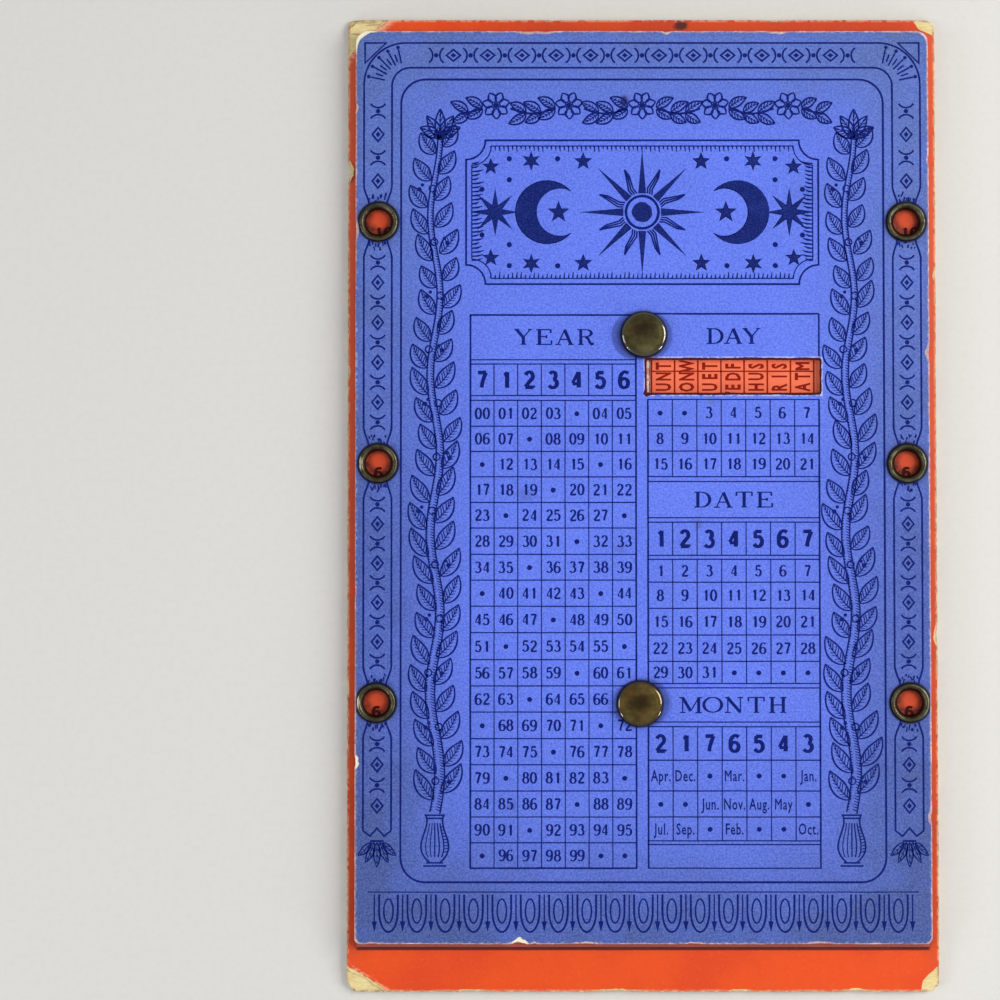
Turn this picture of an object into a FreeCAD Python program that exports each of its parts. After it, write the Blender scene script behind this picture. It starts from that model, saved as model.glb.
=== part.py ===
import FreeCAD, Part
import math
import os
import Sketcher

# A flat perpetual calendar made of three cards: a printed front card with a weekday window and six eyelet
# peepholes, a card that slides up and down behind it, and a larger back card. Two split pins with round
# caps run through the stack and are spread over washers in pockets of the back board.
# Millimetres. X runs across the cards, Y up them and Z from the back towards the reader. The back lies on
# Z = 0 and the origin is under the middle of the back card.

SIZES = {
    # Outlines of the cards. The borders are the strips of back card that the front card leaves in view
    "back_width": 134.0,
    "back_height": 221.0,
    "side_border": 1.85,
    "top_border": 3.0,
    "bottom_border": 11.0,
    "slide_inset": 0.25,           # slide's side edge inside the front card's side edge
    "slide_peep": 1.1,             # slide's lower edge below the front card's lower edge
    "card_corner": 1.2,            # radius of every card's corners
    # Thicknesses
    "paper_thick": 0.15,           # printed faces and linings
    "back_board_thick": 1.6,
    "slide_board_thick": 0.6,
    "front_board_thick": 1.1,
    "slide_gap": 0.1,              # air in front of the slide and behind it
    # Weekday window, its left side from the middle line and its top from the front card's top edge
    "window_left": 0.7,
    "window_drop": 75.1,
    "window_width": 39.7,
    "window_height": 7.8,
    # Eyelets: their middles from the front card's side edge, and from its top or bottom edge
    "eyelet_inset": 5.25,
    "lower_eyelet_out": 0.4,       # lower pair nearer to the side edges than the others
    "upper_eyelet_drop": 43.7,
    "middle_eyelet_drop": 98.6,
    "lower_eyelet_rise": 54.3,
    "eyelet_flange": 9.0,
    "eyelet_mouth": 6.6,           # upper end of the funnel inside the flange
    "eyelet_bore": 5.7,
    "eyelet_wall": 0.35,
    "eyelet_rim": 0.6,             # height of the flange above the front card
    "eyelet_round": 0.45,          # rounding of the flange's two upper edges
    "clench_width": 0.6,           # rear clench beyond the barrel
    "clench_thick": 0.3,
    "eyelet_fit": 0.05,            # card hole's radius over the eyelet's
    # Studs: the upper one from the front card's top edge, the lower one from its bottom edge, and
    # how far they stand right and left of the middle line
    "upper_stud_drop": 69.4,
    "upper_stud_right": 0.3,
    "lower_stud_rise": 54.1,
    "lower_stud_left": 0.7,
    # Caps of the studs
    "cap_diameter": 10.4,
    "cap_height": 1.95,
    "cap_crown": 0.25,             # dome of the cap above its rim
    "cap_wall": 0.3,
    "cap_lip": 0.45,               # width of the flat ring that bears on the card
    # Split pins, each one folded strip of brass
    "strip_width": 2.6,
    "strip_thick": 0.5,
    "leg_split": 0.1,              # gap between the two legs
    "head_hold": 0.25,             # pin's head over the cap's lip
    "head_play": 0.05,
    "leg_inset": 0.6,              # end of a spread leg inside the washer's edge
    "foot_lift": 0.1,              # spread legs above the resting plane
    "bend_inner": 0.15,            # inner radius where a leg is spread
    "pin_fit": 0.15,               # card hole's radius over the shank's corners
    "washer_diameter": 12.0,
    "washer_thick": 0.4,
    "washer_play": 0.3,            # pocket's radius over the washer's
    # Slots and travel of the slide
    "slot_side_play": 0.15,
    "slot_end_play": 0.3,
    "row_pitch": 7.2,              # from one weekday row of the slide to the next
    "row_drop": 2.4,               # the shown row below its place in the window at rest
}
WEEKDAY_ROWS = 7
ROWS_ABOVE = 1                     # rows of the slide above the one that the window shows at rest


class Size:
    """A length that knows its number and the sheet formula behind it."""

    def __init__(self, value, formula):
        self.value = value
        self.formula = formula

    def __add__(self, other):
        return joined(self, "+", other)

    def __sub__(self, other):
        return joined(self, "-", other)

    def __mul__(self, other):
        return joined(self, "*", other)

    def __truediv__(self, other):
        return joined(self, "/", other)

    def __neg__(self):
        return Size(-self.value, "-(" + self.formula + ")")


def joined(left, sign, right):
    """The sum, difference, product or quotient of two sizes, or of a size and a plain number."""
    other = right if isinstance(right, Size) else Size(right, str(right))
    answers = {
        "+": lambda: left.value + other.value,
        "-": lambda: left.value - other.value,
        "*": lambda: left.value * other.value,
        "/": lambda: left.value / other.value,
    }
    return Size(answers[sign](), "(%s %s %s)" % (left.formula, sign, other.formula))


def diagonal(across, along):
    """The corner to corner length of a rectangle."""
    square = across * across + along * along
    return Size(math.sqrt(square.value), "sqrt" + square.formula)


ZERO = Size(0.0, "0")

doc = FreeCAD.newDocument("PerpetualCalendar")
sheet = doc.addObject("Spreadsheet::Sheet", "Sizes")
for row, (alias, number) in enumerate(SIZES.items(), start=1):
    sheet.set("A%d" % row, alias)
    sheet.set("B%d" % row, str(number))
    sheet.setAlias("B%d" % row, alias)
doc.recompute()


class Named:
    """Every cell of the sheet as a size, read by its alias."""

    def __getattr__(self, alias):
        return Size(float(SIZES[alias]), "Sizes." + alias)


size = Named()


# Levels above the resting plane, from the back of the stack to the front
back_board_level = size.paper_thick
back_face_level = back_board_level + size.back_board_thick
slide_board_level = back_face_level + size.paper_thick + size.slide_gap
slide_face_level = slide_board_level + size.slide_board_thick
front_lining_level = slide_face_level + size.paper_thick + size.slide_gap
front_board_level = front_lining_level + size.paper_thick
front_face_level = front_board_level + size.front_board_thick
front_top_level = front_face_level + size.paper_thick

# Edges and middles of the cards
front_width = size.back_width - size.side_border * 2
front_height = size.back_height - size.top_border - size.bottom_border
front_top_edge = size.back_height / 2 - size.top_border
front_bottom_edge = front_top_edge - front_height
front_middle = front_top_edge - front_height / 2
slide_width = front_width - size.slide_inset * 2
slide_middle = front_middle - size.slide_peep
travel_up = size.row_drop + size.row_pitch * (WEEKDAY_ROWS - 1 - ROWS_ABOVE)
travel_down = size.row_pitch * ROWS_ABOVE - size.row_drop

# Eyelets: barrel, clench and the holes that they need
barrel_radius = size.eyelet_bore / 2 + size.eyelet_wall
barrel_hole = (barrel_radius + size.eyelet_fit) * 2
clench_radius = barrel_radius + size.clench_width
clench_hole = (clench_radius + size.eyelet_fit) * 2
eyelet_depth = size.front_board_thick + size.paper_thick * 2
eyelet_across = front_width / 2 - size.eyelet_inset
EYELET_ROWS = {
    "upper": (eyelet_across, front_top_edge - size.upper_eyelet_drop),
    "middle": (eyelet_across, front_top_edge - size.middle_eyelet_drop),
    "lower": (eyelet_across + size.lower_eyelet_out, front_bottom_edge + size.lower_eyelet_rise),
}
EYELETS = {"left_%s_eyelet" % row: (-across, y) for row, (across, y) in EYELET_ROWS.items()}
EYELETS.update({"right_%s_eyelet" % row: (across, y) for row, (across, y) in EYELET_ROWS.items()})

# Studs: the shank, its holes and the pocket of its washer
STUDS = {
    "upper": (size.upper_stud_right, front_top_edge - size.upper_stud_drop),
    "lower": (-size.lower_stud_left, front_bottom_edge + size.lower_stud_rise),
}
shank_depth = size.strip_thick * 2 + size.leg_split
shank_hole = diagonal(size.strip_width, shank_depth) + size.pin_fit * 2
washer_level = size.foot_lift + size.strip_thick
pocket_hole = size.washer_diameter + size.washer_play * 2
pocket_depth = washer_level + size.washer_thick - size.paper_thick
slot_width = size.strip_width + size.slot_side_play * 2


def bind(target, property_name, length):
    """Ties one property of an object to a formula of the sheet."""
    target.setExpression(property_name, length.formula)


def place(body, x=ZERO, y=ZERO, z=ZERO):
    """Puts a body's own origin at a point of the calendar."""
    body.Placement.Base = FreeCAD.Vector(x.value, y.value, z.value)
    bind(body, "Placement.Base.x", x)
    bind(body, "Placement.Base.y", y)
    bind(body, "Placement.Base.z", z)


def new_body(label):
    body = doc.addObject("PartDesign::Body", label)
    body.Label = label
    return body


def new_sketch(body, name, plane_role):
    """A sketch on one of the body's own origin planes."""
    plane = [feature for feature in body.Origin.OriginFeatures if feature.Role == plane_role][0]
    sketch = body.newObject("Sketcher::SketchObject", name)
    sketch.AttachmentSupport = [(plane, "")]
    sketch.MapMode = "FlatFace"
    return sketch


def fix(sketch, kind, geometry, point, length):
    """Holds one coordinate of a sketch point at a formula of the sheet."""
    if length is ZERO:
        axis = {"DistanceX": -2, "DistanceY": -1}[kind]
        sketch.addConstraint(Sketcher.Constraint("PointOnObject", geometry, point, axis))
        return
    if length.value < 0:
        ends = (geometry, point, -1, 1)
        length = -length
    else:
        ends = (-1, 1, geometry, point)
    index = sketch.addConstraint(Sketcher.Constraint(kind, *ends, length.value))
    name = "%s_%d_%d" % (kind, geometry, point)
    sketch.renameConstraint(index, name)
    bind(sketch, "Constraints." + name, length)


def bent_edge(start, end, centre_x, clockwise):
    """An arc between two points whose centre lies at a given X, and how its ends are numbered."""
    rise = end.y - start.y
    half_squares = (end.x ** 2 + end.y ** 2 - start.x ** 2 - start.y ** 2) / 2
    centre_y = (half_squares - centre_x * (end.x - start.x)) / rise
    centre = FreeCAD.Vector(centre_x, centre_y, 0)
    first, last = (end, start) if clockwise else (start, end)
    circle = Part.Circle(centre, FreeCAD.Vector(0, 0, 1), (start - centre).Length)
    arc = Part.ArcOfCircle(circle, circle.parameter(first), circle.parameter(last))
    return arc, ((2, 1) if clockwise else (1, 2))


def draw_outline(sketch, corners):
    """A closed outline. A corner is (x, y), or (x, y, centre x, clockwise) where an arc leaves it."""
    points = [FreeCAD.Vector(corner[0].value, corner[1].value, 0) for corner in corners]
    ends = []
    base = sketch.GeometryCount
    for number, corner in enumerate(corners):
        start = points[number]
        end = points[(number + 1) % len(points)]
        if len(corner) > 2:
            edge, numbering = bent_edge(start, end, corner[2].value, corner[3])
        else:
            edge = Part.LineSegment(start, end)
            numbering = (1, 2)
        sketch.addGeometry(edge, False)
        ends.append(numbering)
    for number, corner in enumerate(corners):
        following = (number + 1) % len(corners)
        joint = (base + number, ends[number][1], base + following, ends[following][0])
        sketch.addConstraint(Sketcher.Constraint("Coincident", *joint))
        fix(sketch, "DistanceX", base + number, ends[number][0], corner[0])
        fix(sketch, "DistanceY", base + number, ends[number][0], corner[1])
        if len(corner) > 2:
            fix(sketch, "DistanceX", base + number, 3, corner[2])


def draw_box(sketch, left, low, right, high):
    draw_outline(sketch, [(left, low), (right, low), (right, high), (left, high)])


def draw_circle(sketch, x, y, diameter):
    centre = FreeCAD.Vector(x.value, y.value, 0)
    circle = Part.Circle(centre, FreeCAD.Vector(0, 0, 1), diameter.value / 2)
    number = sketch.addGeometry(circle, False)
    fix(sketch, "DistanceX", number, 3, x)
    fix(sketch, "DistanceY", number, 3, y)
    index = sketch.addConstraint(Sketcher.Constraint("Diameter", number, diameter.value))
    sketch.renameConstraint(index, "Diameter_%d" % number)
    bind(sketch, "Constraints.Diameter_%d" % number, diameter)


def add_pad(body, sketch, name, length, midplane=False):
    pad = body.newObject("PartDesign::Pad", name)
    pad.Profile = sketch
    pad.Midplane = midplane
    pad.Length = length.value
    bind(pad, "Length", length)
    doc.recompute()
    return pad


def add_pocket(body, sketch, name, depth=None):
    """Cuts forwards from the piece's rear face, right through it when no depth is given."""
    before = body.Shape.Volume
    pocket = body.newObject("PartDesign::Pocket", name)
    pocket.Profile = sketch
    pocket.Reversed = True
    if depth is None:
        pocket.Type = "ThroughAll"
    else:
        pocket.Length = depth.value
        bind(pocket, "Length", depth)
    doc.recompute()
    if body.Shape.Volume >= before:
        raise RuntimeError("%s of %s cuts nothing" % (name, body.Label))
    return pocket


def add_fillet(body, base, name, radius, chosen):
    """Rounds the edges of the base feature that a test picks out."""
    names = ["Edge%d" % number for number, edge in enumerate(base.Shape.Edges, start=1) if chosen(edge)]
    fillet = body.newObject("PartDesign::Fillet", name)
    fillet.Base = (base, names)
    fillet.Radius = radius.value
    bind(fillet, "Radius", radius)
    doc.recompute()
    return fillet


def turned_body(label, corners):
    """A body of revolution about its own Z axis, from an outline in the XZ plane."""
    body = new_body(label)
    sketch = new_sketch(body, label + "_section", "XZ_Plane")
    draw_outline(sketch, corners)
    turning = body.newObject("PartDesign::Revolution", label + "_turning")
    turning.Profile = sketch
    turning.ReferenceAxis = (sketch, ["V_Axis"])
    turning.Angle = 360
    doc.recompute()
    return body, turning


def upright(edge):
    """True for a straight edge that runs along Z."""
    line = edge.Vertexes[-1].Point - edge.Vertexes[0].Point
    return len(edge.Vertexes) == 2 and abs(line.z) > 0.999 * line.Length > 0


def flat_card(label, width, height, middle, thickness, level):
    """A card or a sheet of paper with rounded corners, as a padded outline."""
    body = new_body(label)
    sketch = new_sketch(body, label + "_outline", "XY_Plane")
    draw_box(sketch, -width / 2, middle - height / 2, width / 2, middle + height / 2)
    pad = add_pad(body, sketch, label + "_thickness", thickness)
    add_fillet(body, pad, label + "_corners", size.card_corner, upright)
    place(body, z=level)
    return body


def cut_circles(body, name, diameter, places, depth=None):
    """Round holes of one diameter at several places of a card."""
    sketch = new_sketch(body, body.Label + "_" + name, "XY_Plane")
    for x, y in places:
        draw_circle(sketch, x, y, diameter)
    add_pocket(body, sketch, body.Label + "_" + name + "_cut", depth)


eyelet_places = list(EYELETS.values())
stud_places = list(STUDS.values())


def back_card():
    """The back board between its printed face and its lining, with the washers' pockets at the rear."""
    outline = (size.back_width, size.back_height, ZERO)
    lining = flat_card("back_lining_sheet", *outline, size.paper_thick, ZERO)
    cut_circles(lining, "pockets", pocket_hole, stud_places)
    board = flat_card("back_board", *outline, size.back_board_thick, back_board_level)
    cut_circles(board, "pin_holes", shank_hole, stud_places)
    cut_circles(board, "pockets", pocket_hole, stud_places, pocket_depth)
    face = flat_card("back_face_sheet", *outline, size.paper_thick, back_face_level)
    cut_circles(face, "pin_holes", shank_hole, stud_places)
    return [lining, board, face]


def slide():
    """The sliding card: a thin board and its printed face, with one slot for each stud."""
    outline = (slide_width, front_height, slide_middle)
    board = flat_card("slide_board", *outline, size.slide_board_thick, slide_board_level)
    face = flat_card("slide_face_sheet", *outline, size.paper_thick, slide_face_level)
    for body in (board, face):
        for name, (x, y) in STUDS.items():
            sketch = new_sketch(body, "%s_%s_slot" % (body.Label, name), "XY_Plane")
            low = y - travel_up - shank_depth / 2 - size.slot_end_play
            high = y + travel_down + shank_depth / 2 + size.slot_end_play
            draw_box(sketch, x - slot_width / 2, low, x + slot_width / 2, high)
            add_pocket(body, sketch, "%s_%s_slot_cut" % (body.Label, name))
    return [board, face]


def front_card():
    """The front board between its printed face and its lining, pierced by window, eyelets and studs."""
    outline = (front_width, front_height, front_middle)
    lining = flat_card("front_lining_sheet", *outline, size.paper_thick, front_lining_level)
    cut_circles(lining, "eyelet_holes", clench_hole, eyelet_places)
    board = flat_card("front_board", *outline, size.front_board_thick, front_board_level)
    cut_circles(board, "eyelet_holes", barrel_hole, eyelet_places)
    cut_circles(board, "clench_seats", clench_hole, eyelet_places, size.clench_thick - size.paper_thick)
    face = flat_card("front_face_sheet", *outline, size.paper_thick, front_face_level)
    cut_circles(face, "eyelet_holes", barrel_hole, eyelet_places)
    for body in (lining, board, face):
        cut_circles(body, "pin_holes", shank_hole, stud_places)
        sketch = new_sketch(body, body.Label + "_window", "XY_Plane")
        top = front_top_edge - size.window_drop
        right = size.window_left + size.window_width
        draw_box(sketch, size.window_left, top - size.window_height, right, top)
        add_pocket(body, sketch, body.Label + "_window_cut")
    return [lining, board, face]


def eyelet(label, x, y):
    """A barrel through the front card, a funnel in a rounded flange in front, a flat clench behind."""
    bore = size.eyelet_bore / 2
    mouth = size.eyelet_mouth / 2
    rim = size.eyelet_flange / 2
    clench_top = size.clench_thick - eyelet_depth
    corners = [
        (bore, -eyelet_depth),
        (clench_radius, -eyelet_depth),
        (clench_radius, clench_top),
        (barrel_radius, clench_top),
        (barrel_radius, ZERO),
        (rim, ZERO),
        (rim, size.eyelet_rim),
        (mouth, size.eyelet_rim),
        (bore, ZERO),
    ]
    body, turning = turned_body(label, corners)

    def top_edge(edge):
        return edge.BoundBox.ZMin > size.eyelet_rim.value * 0.99

    add_fillet(body, turning, label + "_rounding", size.eyelet_round, top_edge)
    place(body, x, y, front_top_level)
    return body


def stud_cap(label, x, y):
    """A hollow brass cap: a flat lip on the card, a half round rim and a low dome."""
    rim_height = size.cap_height - size.cap_crown
    rim_radius = rim_height / 2
    rim_centre = size.cap_diameter / 2 - rim_radius
    lip = rim_centre - size.cap_lip
    corners = [
        (lip, ZERO),
        (rim_centre, ZERO, rim_centre, False),
        (rim_centre, rim_height, ZERO, False),
        (ZERO, size.cap_height),
        (ZERO, size.cap_height - size.cap_wall, ZERO, True),
        (rim_centre, rim_height - size.cap_wall, rim_centre, True),
        (rim_centre, size.cap_wall),
        (lip, size.cap_wall),
    ]
    body, turning = turned_body(label, corners)
    place(body, x, y, front_top_level)
    return body


def split_pin(label, x, y):
    """One strip folded to a flat head, two legs through the stack and two feet spread over the washer."""
    lip = size.cap_diameter / 2 - (size.cap_height - size.cap_crown) / 2 - size.cap_lip
    head_end = lip + size.head_hold
    head_low = front_top_level + size.cap_wall + size.head_play
    head_high = head_low + size.strip_thick * 2
    inner = size.leg_split / 2
    outer = inner + size.strip_thick
    foot_end = size.washer_diameter / 2 - size.leg_inset
    corners = [
        (ZERO, head_low),
        (inner, head_low),
        (inner, size.foot_lift),
        (foot_end, size.foot_lift),
        (foot_end, washer_level),
        (outer, washer_level),
        (outer, head_low),
        (head_end, head_low),
        (head_end, head_high),
        (ZERO, head_high),
    ]
    body = new_body(label)
    sketch = new_sketch(body, label + "_fold", "YZ_Plane")
    draw_outline(sketch, corners)
    pad = add_pad(body, sketch, label + "_strip", size.strip_width, midplane=True)

    def outer_edge(edge):
        point = edge.CenterOfMass
        return abs(point.y - inner.value) < 0.2 * inner.value and point.z < washer_level.value * 0.5

    def inner_edge(edge):
        point = edge.CenterOfMass
        return abs(point.y - outer.value) < 0.1 * outer.value and point.z < washer_level.value * 1.1

    outer_bend = add_fillet(body, pad, label + "_outer_bend", size.bend_inner + size.strip_thick, outer_edge)
    inner_bend = add_fillet(body, outer_bend, label + "_inner_bend", size.bend_inner, inner_edge)
    plane = [feature for feature in body.Origin.OriginFeatures if feature.Role == "XZ_Plane"][0]
    mirror = body.newObject("PartDesign::Mirrored", label + "_both_legs")
    mirror.Originals = [pad, outer_bend, inner_bend]
    mirror.MirrorPlane = (plane, [""])
    body.Tip = mirror
    doc.recompute()
    place(body, x, y)
    return body


def rear_washer(label, x, y):
    """A flat ring that carries the spread feet of a split pin."""
    body = new_body(label)
    sketch = new_sketch(body, label + "_ring", "XY_Plane")
    draw_circle(sketch, ZERO, ZERO, size.washer_diameter)
    draw_circle(sketch, ZERO, ZERO, shank_hole)
    add_pad(body, sketch, label + "_thickness", size.washer_thick)
    place(body, x, y, washer_level)
    return body


def studs():
    pieces = []
    for name, (x, y) in STUDS.items():
        pieces.append(stud_cap(name + "_stud_cap", x, y))
        pieces.append(split_pin(name + "_split_pin", x, y))
        pieces.append(rear_washer(name + "_rear_washer", x, y))
    return pieces


def eyelets():
    return [eyelet(name, x, y) for name, (x, y) in EYELETS.items()]


def check(pieces):
    """Stops when any object failed or any piece isn't one sound solid."""
    doc.recompute()
    for item in doc.Objects:
        if "Invalid" in item.State or "Error" in item.State:
            raise RuntimeError("%s is %s" % (item.Label, item.State))
    for piece in pieces:
        shape = piece.Shape
        if shape.isNull() or not shape.isValid() or len(shape.Solids) != 1:
            raise RuntimeError("%s has no single sound solid" % piece.Label)


def export(pieces):
    os.makedirs("parts", exist_ok=True)
    for piece in pieces:
        piece.Shape.exportStep(os.path.join("parts", piece.Label + ".step"))
        box = piece.Shape.BoundBox
        print("%-22s %10.3f mm3  z %.2f to %.2f" % (piece.Label, piece.Shape.Volume, box.ZMin, box.ZMax))


pieces = back_card() + slide() + front_card() + eyelets() + studs()
check(pieces)
export(pieces)
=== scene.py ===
import bpy
import numpy as np
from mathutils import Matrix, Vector
from mathutils.geometry import tessellate_polygon


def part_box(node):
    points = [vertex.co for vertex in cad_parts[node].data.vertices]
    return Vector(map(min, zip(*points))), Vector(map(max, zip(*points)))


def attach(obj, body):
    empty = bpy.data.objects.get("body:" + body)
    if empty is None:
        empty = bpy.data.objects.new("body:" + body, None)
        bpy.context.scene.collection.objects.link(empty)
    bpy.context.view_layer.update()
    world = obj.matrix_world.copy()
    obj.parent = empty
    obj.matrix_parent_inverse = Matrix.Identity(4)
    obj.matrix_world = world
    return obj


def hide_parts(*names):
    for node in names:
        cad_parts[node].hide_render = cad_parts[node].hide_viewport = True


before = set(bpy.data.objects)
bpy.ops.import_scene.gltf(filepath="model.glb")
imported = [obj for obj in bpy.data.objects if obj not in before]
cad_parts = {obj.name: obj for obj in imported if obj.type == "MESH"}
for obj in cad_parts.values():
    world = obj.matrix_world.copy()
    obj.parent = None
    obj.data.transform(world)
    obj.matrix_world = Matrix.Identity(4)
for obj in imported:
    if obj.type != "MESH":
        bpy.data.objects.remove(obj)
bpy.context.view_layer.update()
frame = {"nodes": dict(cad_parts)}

# The plan works in millimetres, and every mesh is written in metres.
mm = 0.001
dice = np.random.default_rng(41)


def nodeBox(node):
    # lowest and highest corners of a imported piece, in millimetres
    low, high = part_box(node)
    return np.array(low) / mm, np.array(high) / mm


def nodeMiddle(node):
    low, high = nodeBox(node)
    return (low + high) / 2


def linear(red, green, blue):
    # a colour as the eye reads it (0 to 255) turned into the light values that a shader wants
    share = np.array([red, green, blue]) / 255
    light = np.where(share <= 0.04045, share / 12.92, ((share + 0.055) / 1.055) ** 2.4)
    return (*light.tolist(), 1.0)


palette = {
    "blue": linear(99, 125, 243),
    "blueDeep": linear(82, 104, 212),
    "blueSoilAndShade": linear(70, 90, 156),
    "blueRubbed": linear(130, 152, 240),
    "blueFrayed": linear(206, 204, 232),
    "shadeNavy": linear(16, 20, 58),
    "inkNavy": linear(0, 20, 103),
    "inkThin": linear(26, 56, 172),
    "orange": linear(239, 79, 9),
    "orangeDeep": linear(226, 66, 12),
    "orangeFaded": linear(248, 108, 46),
    "orangeSoilAndShade": linear(132, 44, 22),
    "salmon": linear(253, 119, 80),
    "salmonDeep": linear(243, 99, 63),
    "inkBrown": linear(138, 20, 0),
    "inkBrownThin": linear(180, 52, 12),
    "windowWallShade": linear(72, 20, 34),
    "boardWhite": linear(244, 228, 228),
    "boardGrey": linear(194, 170, 172),
    "plyCream": linear(243, 227, 168),
    "plyTan": linear(214, 184, 120),
    "tornPink": linear(244, 184, 146),
    "buff": linear(214, 194, 154),
    "buffStain": linear(164, 126, 82),
    "floor": linear(226, 224, 219),
}


def makePiece(name, points, faces, slot, body, material, node=None, smooth=False):
    # points in millimetres become one mesh object that rides on a body
    mesh = bpy.data.meshes.new(name)
    mesh.from_pydata((np.asarray(points) * mm).tolist(), [], [list(map(int, face)) for face in faces])
    mesh.validate()
    mesh.polygons.foreach_set("use_smooth", np.full(len(mesh.polygons), smooth))
    mesh.materials.append(material)
    mesh.update()
    piece = bpy.data.objects.new(name, mesh)
    bpy.context.scene.collection.objects.link(piece)
    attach(piece, body)
    if node:
        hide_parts(*([node] if isinstance(node, str) else node))
    return piece


# Finishes

class Finish:
    # a material whose nodes are added one call at a time, and the colour painted on it so far
    def __init__(self, name, roughness=0.6, metallic=0.0, specular=0.4):
        self.material = bpy.data.materials.new(name)
        self.material.use_nodes = True
        self.tree = self.material.node_tree
        self.shader = self.tree.nodes["Principled BSDF"]
        self.shader.inputs["Roughness"].default_value = roughness
        self.shader.inputs["Metallic"].default_value = metallic
        self.shader.inputs["Specular IOR Level"].default_value = specular
        self.place = self.node("ShaderNodeTexCoord")["Object"]
        self.x, self.y, self.z = self.node("ShaderNodeSeparateXYZ", ((0, self.place),))
        self.colour = None

    def feed(self, socket, value):
        if isinstance(value, bpy.types.NodeSocket):
            self.tree.links.new(value, socket)
        else:
            socket.default_value = value

    def node(self, kind, inputs=(), **settings):
        # outputs of a new node; inputs are pairs of a socket and what feeds it
        node = self.tree.nodes.new(kind)
        for name, value in settings.items():
            setattr(node, name, value)
        for socket, value in inputs:
            self.feed(node.inputs[socket], value)
        return node.outputs

    def stretched(self, x, y, z, turn=0.0):
        return self.node("ShaderNodeMapping", (
            ("Vector", self.place), ("Scale", (x, y, z)), ("Rotation", (0, 0, turn))))[0]

    def noise(self, size, detail=3.0, rough=0.55, vector=None):
        # size is the width of one cloud in millimetres
        return self.node("ShaderNodeTexNoise", (
            ("Scale", 1 / (size * mm)), ("Detail", detail), ("Roughness", rough),
            ("Vector", vector or self.place)))["Fac"]

    def cells(self, size):
        return self.node("ShaderNodeTexVoronoi", (
            ("Scale", 1 / (size * mm)), ("Vector", self.place)))["Distance"]

    def maths(self, work, *values):
        return self.node("ShaderNodeMath", enumerate(values), operation=work)[0]

    def times(self, total, *values):
        for value in values:
            total = self.maths("MULTIPLY", total, value)
        return total

    def plus(self, total, *values):
        for value in values:
            total = self.maths("ADD", total, value)
        return total

    def reach(self, value, low, high, start=0.0, end=1.0):
        # value from low to high read as start to end, held at both ends
        return self.node("ShaderNodeMapRange", enumerate((value, low, high, start, end)),
                         interpolation_type="SMOOTHSTEP")[0]

    def zone(self, value, low, high, start=0.0, end=1.0):
        # the same with low and high in millimetres
        return self.reach(value, low * mm, high * mm, start, end)

    def near(self, far, full, none, depth=1.0):
        # a share that is whole up to one distance and gone at another, both in millimetres
        return self.zone(far, full, none, depth, 0.0)

    def clouds(self, size, detail, low, high, start=0.0, end=1.0, rough=0.55, vector=None):
        return self.reach(self.noise(size, detail, rough, vector), low, high, start, end)

    def blend(self, share, first, second, way="MIX"):
        return self.node("ShaderNodeMix", (("Factor", share), ("A", first), ("B", second)),
                         data_type="RGBA", blend_type=way)["Result"]

    def ground(self, light, dark, *shares):
        # the first coat: dark by the product of the shares and light elsewhere
        self.colour = self.blend(self.times(*shares), light, dark)

    def paint(self, tone, *shares):
        # a tone over the colour so far, by the product of the shares
        self.colour = self.blend(self.times(*shares), self.colour, tone)

    def off(self, value, place=0.0):
        # distance of a coordinate from a place given in millimetres
        return self.maths("ABSOLUTE", self.maths("SUBTRACT", value, place * mm))

    def distance(self, x, y, stretch=1.0):
        # distance from a point of the card, the x part divided by stretch
        across = self.times(self.maths("SUBTRACT", self.x, float(x) * mm), 1 / stretch)
        along = self.maths("SUBTRACT", self.y, float(y) * mm)
        return self.maths("SQRT", self.plus(self.times(across, across), self.times(along, along)))

    def farFrom(self, spots):
        # distance to the nearest of some points of the card
        nearest = self.distance(*spots[0])
        for spot in spots[1:]:
            nearest = self.maths("MINIMUM", nearest, self.distance(*spot))
        return nearest

    def spot(self, x, y, size, soft=0.6, ragged=0.5, stretch=1.0):
        # share of a round stain about a point of the card, its rim broken up by noise
        swing = ragged * size * mm
        far = self.distance(x, y, stretch)
        rim = self.plus(self.maths("MULTIPLY_ADD", self.noise(size * 0.7, 4.0), -swing, far), swing / 2)
        return self.near(rim, size * (1 - soft), size)

    def edgeShare(self, half, width, middleY=0.0):
        # 1 at the rim of a card and 0 from a given width inwards
        across = self.maths("SUBTRACT", half[0] * mm, self.off(self.x))
        along = self.maths("SUBTRACT", half[1] * mm, self.off(self.y, middleY))
        return self.near(self.maths("MINIMUM", across, along), 0.0, width)

    def beyond(self, low, high):
        # how far a point lies outside a rectangle, and below zero within it
        gaps = [self.maths("MAXIMUM", self.maths("SUBTRACT", first * mm, value),
                           self.maths("SUBTRACT", value, last * mm))
                for value, first, last in ((self.x, low[0], high[0]), (self.y, low[1], high[1]))]
        return self.maths("MAXIMUM", *gaps)

    def tornFrom(self, corner, reach):
        # distance from a line that cuts off a corner of the back card
        share = self.plus(self.times(self.off(self.x, corner[0]), 1 / (reach[0] * mm)),
                          self.times(self.off(self.y, corner[1]), 1 / (reach[1] * mm)))
        height = reach[0] * reach[1] / np.hypot(*reach)
        return self.times(self.maths("SUBTRACT", share, 1.0), float(height) * mm)

    def grain(self, height, strength, depth):
        # depth in millimetres
        bump = self.node("ShaderNodeBump", (
            ("Strength", strength), ("Distance", depth * mm), ("Height", height)))
        self.feed(self.shader.inputs["Normal"], bump[0])

    def done(self, roughness=None):
        self.feed(self.shader.inputs["Base Color"], self.colour)
        if roughness is not None:
            self.feed(self.shader.inputs["Roughness"], roughness)
        return self.material


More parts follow.
